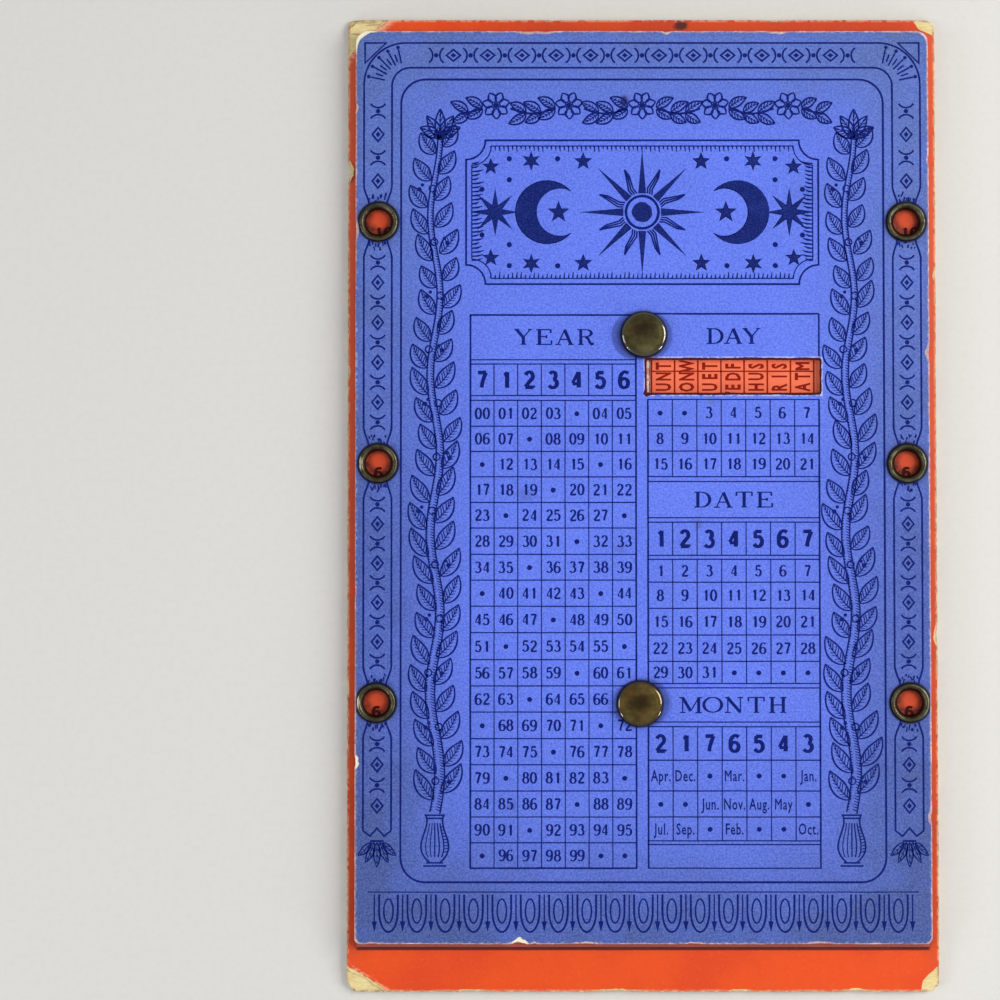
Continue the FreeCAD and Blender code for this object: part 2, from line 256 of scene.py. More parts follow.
frontLow, frontHigh = nodeBox("front_face_sheet")
backLow, backHigh = nodeBox("back_face_sheet")
frontHalf = (frontHigh - frontLow) / 2
frontMiddle = (frontHigh + frontLow) / 2
backHalf = (backHigh - backLow) / 2
slideLow, slideHigh = nodeBox("slide_board")
slideHalf = (slideHigh - slideLow) / 2
slideMiddle = (slideHigh + slideLow) / 2
eyeletNames = [f"{side}_{row}_eyelet" for side in ("left", "right") for row in ("upper", "middle", "lower")]
eyeletSpots = [nodeMiddle(name)[:2] for name in eyeletNames]
studNames = ("upper_stud_cap", "lower_stud_cap")
studSpots = [nodeMiddle(name)[:2] for name in studNames]
studX, studY = zip(*studSpots)
windowLow, windowHigh = (0.7, 24.6), (40.4, 32.7)


blueStains = (
    # place, size, depth, stretch and tone
    (-4.0, 91.2, 2.1, 0.95, 0.75, linear(24, 20, 96)),
    (-26.6, 1.8, 2.4, 0.35, 1.2, linear(66, 82, 150)),
    (-5.0, -10.2, 1.8, 0.3, 1.3, linear(66, 82, 150)),
    (15.6, 23.2, 1.6, 0.4, 1.0, linear(86, 112, 150)),
    (12.6, -4.6, 1.7, 0.5, 0.8, linear(70, 84, 120)),
    (-29.5, -68.2, 1.9, 0.4, 0.7, linear(46, 58, 130)),
    (38.0, 70.0, 6.0, 0.18, 1.4, linear(70, 90, 160)),
    (-40.0, -88.0, 9.0, 0.16, 1.6, linear(70, 88, 150)),
    (52.0, -60.0, 5.0, 0.22, 0.8, linear(66, 84, 150)),
)
studShadows = (
    # which stud, offset from it, where the painted shadow is full and where it ends, depth
    (0, (-1.75, -0.2), 5.4, 5.75, 0.64),
    (0, (0.95, -0.2), 5.3, 5.75, 0.6),
    (1, (1.3, 0.2), 4.9, 6.0, 0.8),
)


def bluePaper():
    finish = Finish("blue_printed_paper", 0.62)
    finish.ground(palette["blue"], palette["blueDeep"], finish.clouds(26, 3.0, 0.3, 0.7), 0.25)
    # handled soil with painted shade: darker at the rim, towards the sides and at both ends
    rim = finish.times(finish.edgeShare(frontHalf, 30, frontMiddle[1]), 0.56)
    sides = finish.times(finish.zone(finish.off(finish.x), 24, 61, 0.0, 0.27),
                         finish.zone(finish.y, -10, 70, 1.0, 0.68))
    ends = finish.plus(finish.zone(finish.y, -94, -30, 0.3, 0.0), finish.zone(finish.y, 84, 104, 0.0, 0.12))
    soilAndShade = finish.blend(finish.zone(finish.y, -20, 66), palette["blueSoilAndShade"], linear(84, 107, 165))
    finish.paint(soilAndShade, finish.plus(rim, sides, ends), finish.clouds(9, 4.0, 0.25, 0.75, 0.8, 1.15))
    # grain of the paper in its tone
    pores = finish.noise(0.42, 2.0, 0.7)
    fibres = finish.noise(0.42, 3.0, 0.65, finish.stretched(0.4, 1.0, 1.0, 0.7))
    crossFibres = finish.noise(0.42, 3.0, 0.65, finish.stretched(1.0, 0.4, 1.0, 0.5))
    tone = finish.plus(finish.reach(pores, 0.25, 0.75, -0.5, 0.5),
                       finish.reach(fibres, 0.25, 0.75, -0.16, 0.16),
                       finish.reach(crossFibres, 0.25, 0.75, -0.16, 0.16))
    for way, least, most in (("MULTIPLY", 0.93, 1.07), ("ADD", -0.03, 0.03)):
        finish.colour = finish.blend(1.0, finish.colour, finish.reach(tone, -0.5, 0.5, least, most), way)
    specks = finish.reach(finish.cells(3.4), 0.035, 0.075, 1.0, 0.0)
    finish.paint(linear(52, 64, 128), specks, finish.clouds(7, 3.0, 0.5, 0.6), 0.6)
    rubs = finish.clouds(1.6, 4.0, 0.66, 0.74, rough=0.7, vector=finish.stretched(0.16, 1.0, 1.0, 0.9))
    finish.paint(palette["blueRubbed"], rubs, 0.1)
    for x, y, size, depth, stretch, tint in blueStains:
        finish.paint(tint, finish.spot(x, y, size, 0.75, 0.9, stretch), depth)
    # worn rims of the card and of the window
    finish.paint(linear(62, 92, 156), finish.edgeShare(frontHalf, 1.7, frontMiddle[1]), 0.45)
    finish.paint(palette["blueFrayed"], finish.edgeShare(frontHalf, 0.85, frontMiddle[1]),
                 finish.clouds(1.1, 4.0, 0.46, 0.62), 0.6)
    finish.paint(palette["blueFrayed"], finish.near(finish.beyond(windowLow, windowHigh), 0.2, 0.62),
                 finish.clouds(0.8, 4.0, 0.36, 0.52), 0.9)
    # painted shadows cast by the studs, and painted shade round the studs and the eyelets
    for which, aside, full, none, depth in studShadows:
        mark = finish.near(finish.farFrom([studSpots[which] + aside]), full, none, depth)
        finish.paint(linear(54, 72, 158), mark, finish.clouds(4.0, 3.0, 0.3, 0.6, 0.7, 1.0))
    stud, eyelet = finish.farFrom(studSpots), finish.farFrom(eyeletSpots)
    finish.paint(linear(52, 66, 150), finish.near(stud, 5.3, 6.2, 0.35))
    finish.paint(palette["shadeNavy"], finish.near(stud, 5.25, 5.6, 0.9))
    finish.paint(linear(52, 66, 140), finish.near(eyelet, 4.6, 6.6, 0.5), finish.clouds(2.2, 3.0, 0.3, 0.6))
    finish.paint(palette["shadeNavy"], finish.near(eyelet, 4.68, 5.0, 0.95))
    finish.grain(finish.plus(pores, finish.times(finish.plus(fibres, crossFibres), 0.6)), 0.35, 0.02)
    return finish.done(finish.reach(pores, 0.2, 0.8, 0.52, 0.72))


def pressedInk(name, full, thin, bare=0.48):
    # ink whose thin places let the paper through; the lower bare is, the more of them
    finish = Finish(name, 0.6, specular=0.12)
    mottle = finish.noise(0.3, 3.0, 0.7)
    cover = finish.plus(finish.reach(mottle, bare, bare + 0.26), finish.clouds(5.0, 3.0, 0.5, 0.75, 0.0, 0.3))
    finish.ground(full, thin, cover, 0.62)
    finish.grain(mottle, 0.25, 0.01)
    return finish.done()


def orangePaper():
    finish = Finish("orange_glazed_paper", 0.5)
    finish.ground(palette["orange"], palette["orangeDeep"], finish.clouds(14, 4.0, 0.35, 0.68), 0.75)
    pores = finish.noise(0.7, 3.0, 0.7)
    finish.paint(palette["orangeFaded"], finish.reach(pores, 0.52, 0.8, 0.0, 0.4))
    finish.paint(linear(176, 62, 34), finish.clouds(3.2, 5.0, 0.58, 0.78, rough=0.7), 0.3)
    scuffs = finish.clouds(1.3, 4.0, 0.68, 0.76, rough=0.7, vector=finish.stretched(1.0, 0.2, 1.0, 0.4))
    finish.paint(palette["orangeFaded"], scuffs, 0.45)
    # sides darkened below by soil and painted shade of the front card, and faded above; a strip of painted
    # shade along the top beside the front card's edge, and a stain in it
    aside = finish.off(finish.x)
    finish.paint(palette["orangeSoilAndShade"], finish.zone(aside, 60, 66, 0.0, 0.2),
                 finish.zone(finish.y, -105, -98), finish.zone(finish.y, -70, 90, 1.9, 0.2),
                 finish.clouds(6, 5.0, 0.3, 0.7, 0.6, 1.3))
    finish.paint(linear(216, 116, 84), finish.zone(aside, 62, 66), finish.zone(finish.y, -90, 70, 0.05, 0.32))
    finish.paint(palette["orangeSoilAndShade"], finish.zone(finish.y, 106.9, 108.0),
                 finish.zone(finish.x, -48, -18, 0.0, 0.26))
    finish.paint(linear(72, 26, 24), finish.spot(9.0, 109.2, 1.5, 0.6, 0.6, 1.5), 0.94)
    # painted contact shadow along the lower edge of the slide
    finish.paint(linear(104, 12, 2), finish.near(finish.off(finish.y, slideLow[1] - 0.25), 0.14, 0.38, 0.92),
                 finish.zone(aside, 64.4, 65.2, 1.0, 0.0))
    # painted shade under the slots of the slide, with a rubbed strip in it
    for spot in studSpots:
        slot = finish.beyond(spot + (-2.4, -45.0), spot + (2.4, 45.0))
        finish.paint(linear(40, 16, 20), finish.near(slot, -0.7, -0.2, 0.93))
        strip = finish.beyond(spot + (1.05, -45.0), spot + (1.5, 45.0))
        finish.paint(linear(255, 226, 206), finish.near(strip, -0.1, 0.14),
                     finish.clouds(0.8, 4.0, 0.36, 0.5), 0.95)
    # a dark patch beside a chip at the rim, and the paper's pink core along its worn rims and tears
    finish.paint(linear(112, 34, 16), finish.spot(-66.6, 75.4, 3.0, 0.5, 0.3, 0.62), 0.8)
    finish.paint(palette["tornPink"], finish.edgeShare(backHalf, 0.8),
                 finish.clouds(1.4, 4.0, 0.38, 0.56), 0.85)
    for corner, reach, width in (((-67.0, 110.5), (9.6, 9.0), 1.7), ((-67.0, -110.5), (9.6, 6.1), 1.0)):
        strands = finish.clouds(0.9, 4.0, 0.42, 0.54, rough=0.65, vector=finish.stretched(0.5, 1.0, 1.0, 0.5))
        fringe = finish.near(finish.tornFrom(corner, reach), 0.0, width, 0.95)
        finish.paint(palette["tornPink"], fringe, strands)
    finish.grain(pores, 0.3, 0.02)
    return finish.done(finish.reach(pores, 0.2, 0.8, 0.42, 0.6))


def salmonPaper():
    finish = Finish("salmon_printed_paper", 0.55)
    finish.ground(palette["salmon"], palette["salmonDeep"], finish.clouds(5, 4.0, 0.35, 0.7), 0.6)
    pores = finish.noise(0.5, 3.0, 0.7)
    finish.paint(linear(255, 150, 112), finish.reach(pores, 0.5, 0.8, 0.0, 0.35))
    finish.paint(linear(190, 70, 44), finish.clouds(2.4, 5.0, 0.6, 0.8, rough=0.7), 0.35)
    # painted shade down the peepholes, and along the lower edge that stands out below the front card
    hole = finish.farFrom(eyeletSpots)
    finish.paint(linear(236, 70, 8), finish.near(hole, 3.4, 4.4, 0.8))
    # each peephole keeps a lit middle a little up and right, and the painted shade grows away from it
    clean = finish.farFrom([spot + (0.3, 0.6) for spot in eyeletSpots])
    finish.paint(linear(84, 22, 6), finish.zone(clean, 1.0, 2.9, 0.1, 0.88), finish.near(hole, 4.6, 6.0),
                 finish.clouds(1.5, 4.0, 0.36, 0.6, 0.68, 1.08, rough=0.65))
    edge = slideLow[1]
    finish.paint(linear(150, 70, 60), finish.near(finish.y, edge + 0.9, edge + 2.8, 0.85))
    finish.paint(linear(64, 14, 8), finish.near(finish.y, edge + 0.28, edge + 0.5, 0.92))
    finish.grain(pores, 0.3, 0.02)
    return finish.done()


def pasteboard(name, light, dark, plies=0.32, framed=False, rim=None, seamDepth=0.35, pale=(), creased=()):
    # fibrous board whose plies show as faint lines round its edge; darkened by painted shade on its walls
    # round the window it frames, with a tone, share, cloud size and cleanest share of its own along a rim of
    # half the given widths, freshly torn at pale spots, and creased by brown lines at others
    finish = Finish(name, 0.85, specular=0.2)
    fibres = finish.noise(0.45, 4.0, 0.7, finish.stretched(0.3, 1.0, 1.0, 0.3))
    cloud = finish.noise(4.5, 4.0)
    finish.ground(light, dark, finish.plus(finish.reach(fibres, 0.3, 0.75, 0.0, 0.6),
                                           finish.reach(cloud, 0.4, 0.75, 0.0, 0.4)))
    layer = finish.maths("MULTIPLY_ADD", finish.z, 1 / (plies * mm), finish.times(cloud, 0.3))
    seam = finish.maths("ABSOLUTE", finish.maths("SUBTRACT", finish.maths("FRACT", layer), 0.5))
    seam = finish.times(finish.reach(seam, 0.36, 0.48), seamDepth)
    finish.paint(linear(150, 116, 74), seam)
    if rim:
        half, middleY, width, tone, share, size, cleanest = rim
        finish.paint(tone, finish.edgeShare(half, width, middleY),
                     finish.clouds(size, 4.0, 0.38, 0.56, cleanest, 1.0, rough=0.6), share)
    for x, y, size in pale:
        finish.paint(linear(255, 247, 216), finish.spot(x, y, size, 0.4, 0.6), 0.9)
    for x, y, size, turn in creased:
        lines = finish.clouds(1.5, 3.0, 0.56, 0.64, rough=0.6, vector=finish.stretched(0.14, 1.0, 1.0, turn))
        finish.paint(linear(140, 104, 62), lines, finish.spot(x, y, size, 0.5, 0.5), 0.5)
    if framed:
        # painted shade on the board's walls round the window
        finish.paint(palette["windowWallShade"], finish.near(finish.beyond(windowLow, windowHigh), 0.6, 0.9))
    finish.grain(finish.plus(fibres, finish.times(seam, -1.5)), 0.6, 0.06)
    return finish.done()


def buffLining(name, framed=False):
    # plain paper with foxing, clean and torn where it frames the window
    finish = Finish(name, 0.8, specular=0.25)
    finish.ground(palette["buff"], linear(196, 170, 124), finish.clouds(30, 4.0, 0.3, 0.7), 0.5)
    fibres = finish.noise(0.6, 4.0, 0.7, finish.stretched(0.25, 1.0, 1.0, 0.2))
    finish.paint(linear(232, 218, 184), finish.reach(fibres, 0.5, 0.8, 0.0, 0.35))
    foxing = finish.reach(finish.cells(11), 0.06, 0.2, 1.0, 0.0)
    finish.paint(palette["buffStain"], foxing, finish.clouds(16, 5.0, 0.48, 0.62, rough=0.7), 0.6)
    finish.paint(palette["buffStain"], finish.edgeShare(backHalf, 14), finish.clouds(7, 5.0, 0.35, 0.7), 0.5)
    scuffs = finish.clouds(1.2, 4.0, 0.66, 0.76, rough=0.7, vector=finish.stretched(0.15, 1.0, 1.0, 1.1))
    finish.paint(linear(238, 228, 202), scuffs, 0.4)
    if framed:
        torn = finish.blend(finish.clouds(0.9, 4.0, 0.42, 0.6), linear(255, 224, 210), linear(226, 150, 120))
        finish.paint(torn, finish.near(finish.beyond(windowLow, windowHigh), 0.0, 0.4))
    finish.grain(fibres, 0.5, 0.03)
    return finish.done()


def oldBrass(name, bright, tarnish, dark, bands=(), marks=(), roughness=0.38):
    # tarnished brass: cloudy olive film, dark specks, fine scratches; bands are rings about the
    # piece's middle with a tone and roughness of their own, and marks are thumbed or rubbed spots or painted
    # highlights
    finish = Finish(name, roughness, metallic=1.0, specular=0.5)
    finish.ground(tarnish, bright, finish.clouds(2.6, 4.0, 0.35, 0.66, rough=0.6))
    film = finish.clouds(1.1, 5.0, 0.48, 0.72, rough=0.7)
    finish.paint(dark, film, 0.8)
    specks = finish.reach(finish.cells(0.85), 0.1, 0.2, 1.0, 0.0)
    specks = finish.times(specks, finish.clouds(1.7, 3.0, 0.5, 0.6))
    finish.paint(dark, specks, 0.85)
    finish.paint(bright, finish.clouds(0.7, 4.0, 0.56, 0.7, rough=0.7), 0.4)
    scratch = finish.noise(0.35, 2.0, 0.6, finish.stretched(0.06, 1.0, 1.0, 0.7))
    crossed = finish.noise(0.35, 2.0, 0.6, finish.stretched(1.0, 0.06, 1.0, 0.35))
    scored = finish.maths("MAXIMUM", finish.reach(scratch, 0.66, 0.72), finish.reach(crossed, 0.66, 0.72))
    finish.paint(bright, scored, 0.35)
    finish.grain(finish.plus(finish.times(scratch, 0.5), finish.noise(0.9, 4.0)), 0.3, 0.04)
    rough = finish.reach(finish.plus(film, finish.times(specks, 0.5)), 0.0, 1.2,
                         roughness - 0.1, roughness + 0.22)
    for x, y, size, stretch, tone, share in marks:
        finish.paint(tone, finish.spot(x, y, size, 0.8, 0.9, stretch), share)
    for spots, inner, outer, tone, depth, gloss in bands:
        far = finish.farFrom(spots)
        share = finish.times(finish.near(far, outer - 0.12, outer + 0.06, depth),
                             finish.zone(far, inner - 0.08, inner + 0.08))
        finish.paint(tone, share)
        rough = finish.plus(rough, finish.times(share, gloss - roughness))
    return finish.done(rough)


finishes = {
    "blue": bluePaper(),
    "navyInk": pressedInk("navy_printing_ink", palette["inkNavy"], palette["inkThin"]),
    "wornInk": pressedInk("navy_ink_worn_thin", linear(4, 22, 98), linear(44, 66, 160), 0.42),
    "brownInk": pressedInk("brown_printing_ink", palette["inkBrown"], palette["inkBrownThin"]),
    # brown ink darkened as painted shade, for the figures seen down the peepholes
    "shadedInk": pressedInk("brown_ink_in_painted_shade", linear(58, 10, 8), linear(96, 22, 12)),
    "orange": orangePaper(),
    "salmon": salmonPaper(),
    "frontBoard": pasteboard("white_pasteboard", palette["boardWhite"], palette["boardGrey"], framed=True,
                             rim=(frontHalf, frontMiddle[1], 1.2, linear(154, 92, 152), 0.68, 0.9, 0.1),
                             pale=((-63.8, 106.3, 4.6), (-27.8, -99.6, 2.2), (-64.7, -58.5, 1.9))),
    # the slide board's dark red rim is painted shade along its edge
    "slideBoard": pasteboard("slide_pasteboard", palette["boardWhite"], palette["boardGrey"], 0.2,
                             rim=(slideHalf, slideMiddle[1], 0.8, linear(64, 10, 6), 3.6, 3.0, 0.25)),
    "backBoard": pasteboard("cream_pasteboard", palette["plyCream"], palette["plyTan"], seamDepth=0.16,
                            rim=(backHalf, 0.0, 0.8, linear(168, 116, 98), 0.9, 1.6, 0.25),
                            creased=((-63.0, 107.5, 7.0, 0.25),)),
    "lining": buffLining("buff_rear_paper"),
    "frontLining": buffLining("buff_window_paper", True),
    # the near black outer band of each cap is painted shade at its rim, and the pale mark low on the upper
    # cap a painted highlight
    "upperCap": oldBrass("cap_olive_brass", linear(116, 107, 68), linear(84, 78, 52), linear(52, 42, 32),
                         ((studSpots, 4.5, 5.0, linear(116, 113, 106), 0.85, 0.1),
                          (studSpots, 5.0, 5.4, linear(24, 20, 20), 0.85, 0.5)),
                         ((studX[0] + 0.4, studY[0] + 1.6, 3.4, 1.0, linear(52, 42, 32), 0.7),
                          (studX[0] - 1.6, studY[0] + 0.8, 2.2, 1.0, linear(84, 56, 38), 0.4),
                          (studX[0] + 0.2, studY[0] - 3.3, 1.5, 2.2, linear(150, 142, 104), 0.5),
                          (studX[0] - 2.6, studY[0] - 1.8, 1.6, 0.8, linear(110, 108, 60), 0.5))),
    # the golden mark low at the right of the lower cap is a painted highlight
    "lowerCap": oldBrass("cap_golden_brass", linear(140, 117, 66), linear(102, 87, 50), linear(64, 48, 30),
                         ((studSpots, 4.55, 5.0, linear(98, 90, 78), 0.85, 0.14),
                          (studSpots, 5.0, 5.4, linear(24, 20, 20), 0.85, 0.5)),
                         ((studX[1] - 0.3, studY[1] + 0.0, 3.8, 1.05, linear(58, 44, 32), 0.62),
                          (studX[1] + 0.6, studY[1] + 1.0, 1.8, 1.1, linear(66, 48, 40), 0.5),
                          (studX[1] - 2.4, studY[1] + 2.4, 2.0, 1.0, linear(126, 82, 44), 0.4),
                          (studX[1] + 2.0, studY[1] - 2.6, 2.2, 1.0, linear(146, 122, 74), 0.45))),
    # the dark red-brown inner band is painted shade with a painted reddish reflection down the funnel, the
    # near black outer band painted shade at the flange's edge, and the pale marks on the left painted
    # highlights
    "eyelet": oldBrass("eyelet_old_brass", linear(108, 106, 86), linear(73, 71, 55), linear(42, 37, 28),
                       ((eyeletSpots, 2.6, 3.3, linear(46, 20, 12), 0.93, 0.6),
                        (eyeletSpots, 4.26, 5.0, linear(18, 18, 24), 0.9, 0.5)),
                       [(spot[0] - 3.96, spot[1] + 0.3, 2.6, 0.14, linear(226, 220, 196), 0.66)
                        for spot in (eyeletSpots[1], eyeletSpots[2])], roughness=0.5),
    "pin": oldBrass("pin_old_brass", linear(178, 150, 84), linear(132, 112, 62), linear(66, 50, 30)),
}
print("finishes made")


# Cards and papers

def wave(count, length, pitch):
    # smooth noise along a closed line: random heights at a given pitch, joined by cosine steps
    knots = max(4, int(round(length / pitch)))
    heights = dice.uniform(-1, 1, knots)
    where = np.linspace(0, knots, count, endpoint=False)
    left = np.floor(where).astype(int)
    ease = (1 - np.cos(np.pi * (where - left))) / 2
    return heights[left % knots] * (1 - ease) + heights[(left + 1) % knots] * ease


def ragged(count, length, pitches=(7.0, 2.2, 0.8), shares=(0.5, 0.3, 0.2)):
    # several such waves added up, so that an edge looks torn or worn at every scale
    return sum(share * wave(count, length, pitch) for pitch, share in zip(pitches, shares))


def spaced(points, step, closed=True):
    # points set at even steps along a line
    line = closedLine(points) if closed else np.asarray(points, float)
    runs = np.hypot(*np.diff(line, axis=0).T)
    along = np.concatenate([[0], np.cumsum(runs)])
    count = max(6, int(round(along[-1] / step)))
    where = np.linspace(0, along[-1], count, endpoint=not closed)
    return np.column_stack([np.interp(where, along, line[:, k]) for k in (0, 1)]), along[-1]


def arc(middle, radiusX, radiusY, start, end, count=12):
    # points on an ellipse between two angles in degrees
    angle = np.radians(np.linspace(start, end, count))
    return np.column_stack([middle[0] + radiusX * np.cos(angle), middle[1] + radiusY * np.sin(angle)])


def unit(runs):
    return runs / np.maximum(np.hypot(*runs.T), 1e-9)[:, None]


def sideways(points):
    # unit vectors square to a closed line, on the right of its run
    run = np.roll(points, -1, axis=0) - np.roll(points, 1, axis=0)
    run /= np.maximum(np.hypot(*run.T), 1e-9)[:, None]
    return np.column_stack([run[:, 1], -run[:, 0]])


def closedLine(points):
    return np.vstack([points, points[:1]])


def roundCorners(low, high, radii, count):
    # arcs at lower left, lower right, upper right and upper left of a rectangle, end to end
    corners = ((low[0], low[1], 180), (high[0], low[1], 270), (high[0], high[1], 0), (low[0], high[1], 90))
    arcs = []
    for (x, y, start), radius in zip(corners, radii):
        middle = (x + radius * (1 if x == low[0] else -1), y + radius * (1 if y == low[1] else -1))
        arcs.append(arc(middle, radius, radius, start, start + 90, count))
    return np.vstack(arcs)


def cardOutline(low, high, radii, step=0.45):
    return spaced(roundCorners(low, high, radii, 10), step)


def sideWear(outline, low, high, wear):
    # the wear of the side that each point of an outline is nearest to
    room = np.column_stack([outline - low[:2], high[:2] - outline])
    return np.array([wear[side] for side in ("left", "bottom", "right", "top")])[np.argmin(room, axis=1)]


def worn(outline, length, inset, rough, bites=()):
    # the line drawn inwards by a mean wear, a ragged share of it, and bites at given places
    depth = inset + rough * ragged(len(outline), length)
    for x, y, wide, deep in bites:
        far = np.hypot(outline[:, 0] - x, outline[:, 1] - y) / (wide / 2)
        depth = depth + deep * np.clip(1.25 - far, 0, 1) ** 0.6 * (1 + 0.35 * wave(len(outline), length, 0.7))
    return outline - sideways(outline) * np.maximum(depth, 0.02)[:, None]


def ring(middle, radius, count=48, rough=0.0):
    # a hole, run clockwise
    points = arc(middle, radius, radius, 0, -360, count + 1)[:-1]
    return points - sideways(points) * (rough * ragged(count, 6.3 * radius, (2.0, 0.7), (0.6, 0.4)))[:, None]


def plate(loops, levels):
    # closed slab: the loops stand at each level, drawn in by that level's inset, with the
    # first and last level filled
    rights = [sideways(loop) for loop in loops]
    rings = [np.vstack([loop - right * inset for loop, right in zip(loops, rights)]) for inset, _ in levels]
    size = len(rings[0])
    points = np.vstack([np.column_stack([r, np.full(size, z)]) for r, (_, z) in zip(rings, levels)])
    ends = np.cumsum([0] + [len(loop) for loop in loops])
    here = np.arange(size)
    after = here + 1
    after[ends[1:] - 1] = ends[:-1]
    wall = np.column_stack([here, after, after + size, here + size])
    walls = np.vstack([wall + size * k for k in range(len(levels) - 1)])
    flat = [[Vector((x, y, 0)) for x, y in rings[-1][a:b]] for a, b in zip(ends[:-1], ends[1:])]
    caps = np.array(tessellate_polygon(flat))
    a, b, c = (rings[-1][caps[:, k]] for k in range(3))
    turn = (b[:, 0] - a[:, 0]) * (c[:, 1] - a[:, 1]) - (b[:, 1] - a[:, 1]) * (c[:, 0] - a[:, 0])
    caps = caps[np.abs(turn) > 1e-9]
    turn = turn[np.abs(turn) > 1e-9]
    caps = np.where(turn[:, None] > 0, caps, caps[:, ::-1])
    return points, walls.tolist() + (caps + size * (len(levels) - 1)).tolist() + caps[:, ::-1].tolist()


def joined(parts):
    # several meshes as one list of points and faces
    points, faces, start = [], [], 0
    for more, rows in parts:
        points.append(np.asarray(more))
        faces += [[start + k for k in row] for row in rows]
        start += len(more)
    return np.vstack(points), faces


def rounded(low, high, rim, steps=3):
    # levels of a slab whose upper and lower rims are worn round
    angle = np.linspace(0, np.pi / 2, steps + 1)
    inset, lift = rim * (1 - np.sin(angle)), rim * (1 - np.cos(angle))
    lower = [(i, low + r) for i, r in zip(inset, lift)]
    return lower + [(i, high - r) for i, r in zip(inset[::-1], lift[::-1])]


frontCard = {
    "boardRadii": (1.3, 1.6, 2.6, 2.9),
    "paperRadii": (2.0, 2.0, 3.0, 4.2),
    "boardWear": 0.04,
    "rim": 0.16,
    "paperWear": {"left": 0.4, "right": 0.36, "top": 0.36, "bottom": 0.28},
    "leastWorn": ((-30.0, 5.0, 45.0, 60.0), (1.0, 0.42, 0.42, 0.95)),
    "paperRough": 0.18,
    "windowRim": ((0.3, 0.34), (-0.15, -0.3)),
    "windowRough": 0.05,
    "windowLip": 0.62,
    "cornerTear": ((-65.15, 107.5), (4.5, 2.9), -0.05, 0.1),
    "windowFray": (0.18, 0.16),
    "holeRadius": 3.3,
    "studHole": 2.2,
    "bites": (
        # middle, width and depth
        (-26.1, 107.5, 3.8, 0.45), (-22.2, 107.5, 3.2, 0.5), (5.5, 107.5, 2.0, 0.5), (31.0, 107.5, 4.4, 0.4),
        (-65.15, 90.1, 1.6, 0.5), (-65.15, 62.0, 4.2, 0.35), (-65.15, -58.5, 2.7, 0.75),
        (-65.15, -20.0, 2.4, 0.3), (-65.15, 24.0, 2.0, 0.25), (65.15, 34.0, 3.4, 0.6),
        (65.15, -71.0, 2.6, 0.5), (65.15, 78.0, 2.0, 0.35),
        (-28.0, -99.5, 3.2, 1.25), (-12.9, -99.5, 5.0, 0.35), (11.3, -99.5, 4.0, 0.4),
        (40.0, -99.5, 5.2, 0.45), (-24.6, -99.5, 1.0, 0.5), (-61.0, -99.5, 2.4, 0.3),
    ),
}


def frontPieces():
    plan = frontCard
    outline, length = cardOutline(frontLow, frontHigh, plan["boardRadii"])
    boardLow, boardHigh = nodeBox("front_board")
    low, high = np.array(windowLow), np.array(windowHigh)
    window = cardOutline(low, high, (0.25,) * 4, 0.35)
    windowLoop = window[0][::-1]
    rimLow, rimHigh = plan["windowRim"]
    boardLoop = cardOutline(low + rimLow, high + rimHigh, (0.25,) * 4, 0.35)[0][::-1]
    studHoles = [ring(spot, plan["studHole"], 24) for spot in studSpots]
    eyeHoles = [ring(spot, plan["holeRadius"], 40) for spot in eyeletSpots]
    board = worn(outline, length, plan["boardWear"], 0.05,
                 [(x, y, wide * 0.8, deep * 0.35) for x, y, wide, deep in plan["bites"]])
    swell = plan["windowRough"] * ragged(len(boardLoop), window[1], (2, 0.8), (0.6, 0.4))
    boardWindow = boardLoop + sideways(boardLoop) * swell[:, None]
    levels = rounded(boardLow[2], boardHigh[2], plan["rim"])
    makePiece("front_pasteboard", *plate([board, boardWindow] + studHoles + eyeHoles, levels),
              "front_board", "cards", finishes["frontBoard"], "front_board")

    outline, length = cardOutline(frontLow, frontHigh, plan["paperRadii"])
    leastWorn = np.where(outline[:, 0] < 0, np.interp(outline[:, 1], *plan["leastWorn"]), 1.0)
    wear = sideWear(outline, frontLow, frontHigh, plan["paperWear"]) * leastWorn
    paper = worn(outline, length, wear, plan["paperRough"], plan["bites"])
    corner, reach, bow, rough = plan["cornerTear"]
    paper = cutCorner(paper, corner, reach, bow, rough)
    mean, rough = plan["windowFray"]
    frayed = mean + rough * ragged(len(windowLoop), window[1], (5.0, 1.6, 0.7), (0.4, 0.35, 0.25))
    corner = np.hypot(windowLoop[:, 0] - low[0], windowLoop[:, 1] - low[1])
    frayed = frayed + 0.5 * np.clip(1 - corner / 1.1, 0, 1)
    paperWindow = windowLoop - sideways(windowLoop) * np.maximum(frayed, 0.02)[:, None]
    sheetLow, sheetHigh = frontLow[2], frontHigh[2]
    levels = [(0.0, sheetLow), (0.0, sheetHigh - 0.04), (0.04, sheetHigh)]
    makePiece("front_blue_paper", *plate([paper, paperWindow] + studHoles + eyeHoles, levels),
              "front_face", "cards", finishes["blue"], "front_face_sheet")
    liningLow, liningHigh = nodeBox("front_lining_sheet")
    lining = worn(outline, length, 0.25, 0.15)
    # its torn edge stands out into the window at the left
    lip = np.clip(1 - (boardWindow[:, 0] - low[0] - rimLow[0]) / 0.3, 0, 1) * plan["windowLip"]
    lip = lip * (1 + 0.4 * ragged(len(lip), window[1], (2.4, 1.0, 0.5), (0.4, 0.35, 0.25)))
    liningWindow = boardWindow + np.column_stack([lip, np.zeros(len(lip))])
    levels = [(0.0, liningLow[2]), (0.0, liningHigh[2])]
    makePiece("front_rear_paper", *plate([lining, liningWindow] + studHoles + eyeHoles, levels),
              "front_lining", "cards", finishes["frontLining"], "front_lining_sheet")


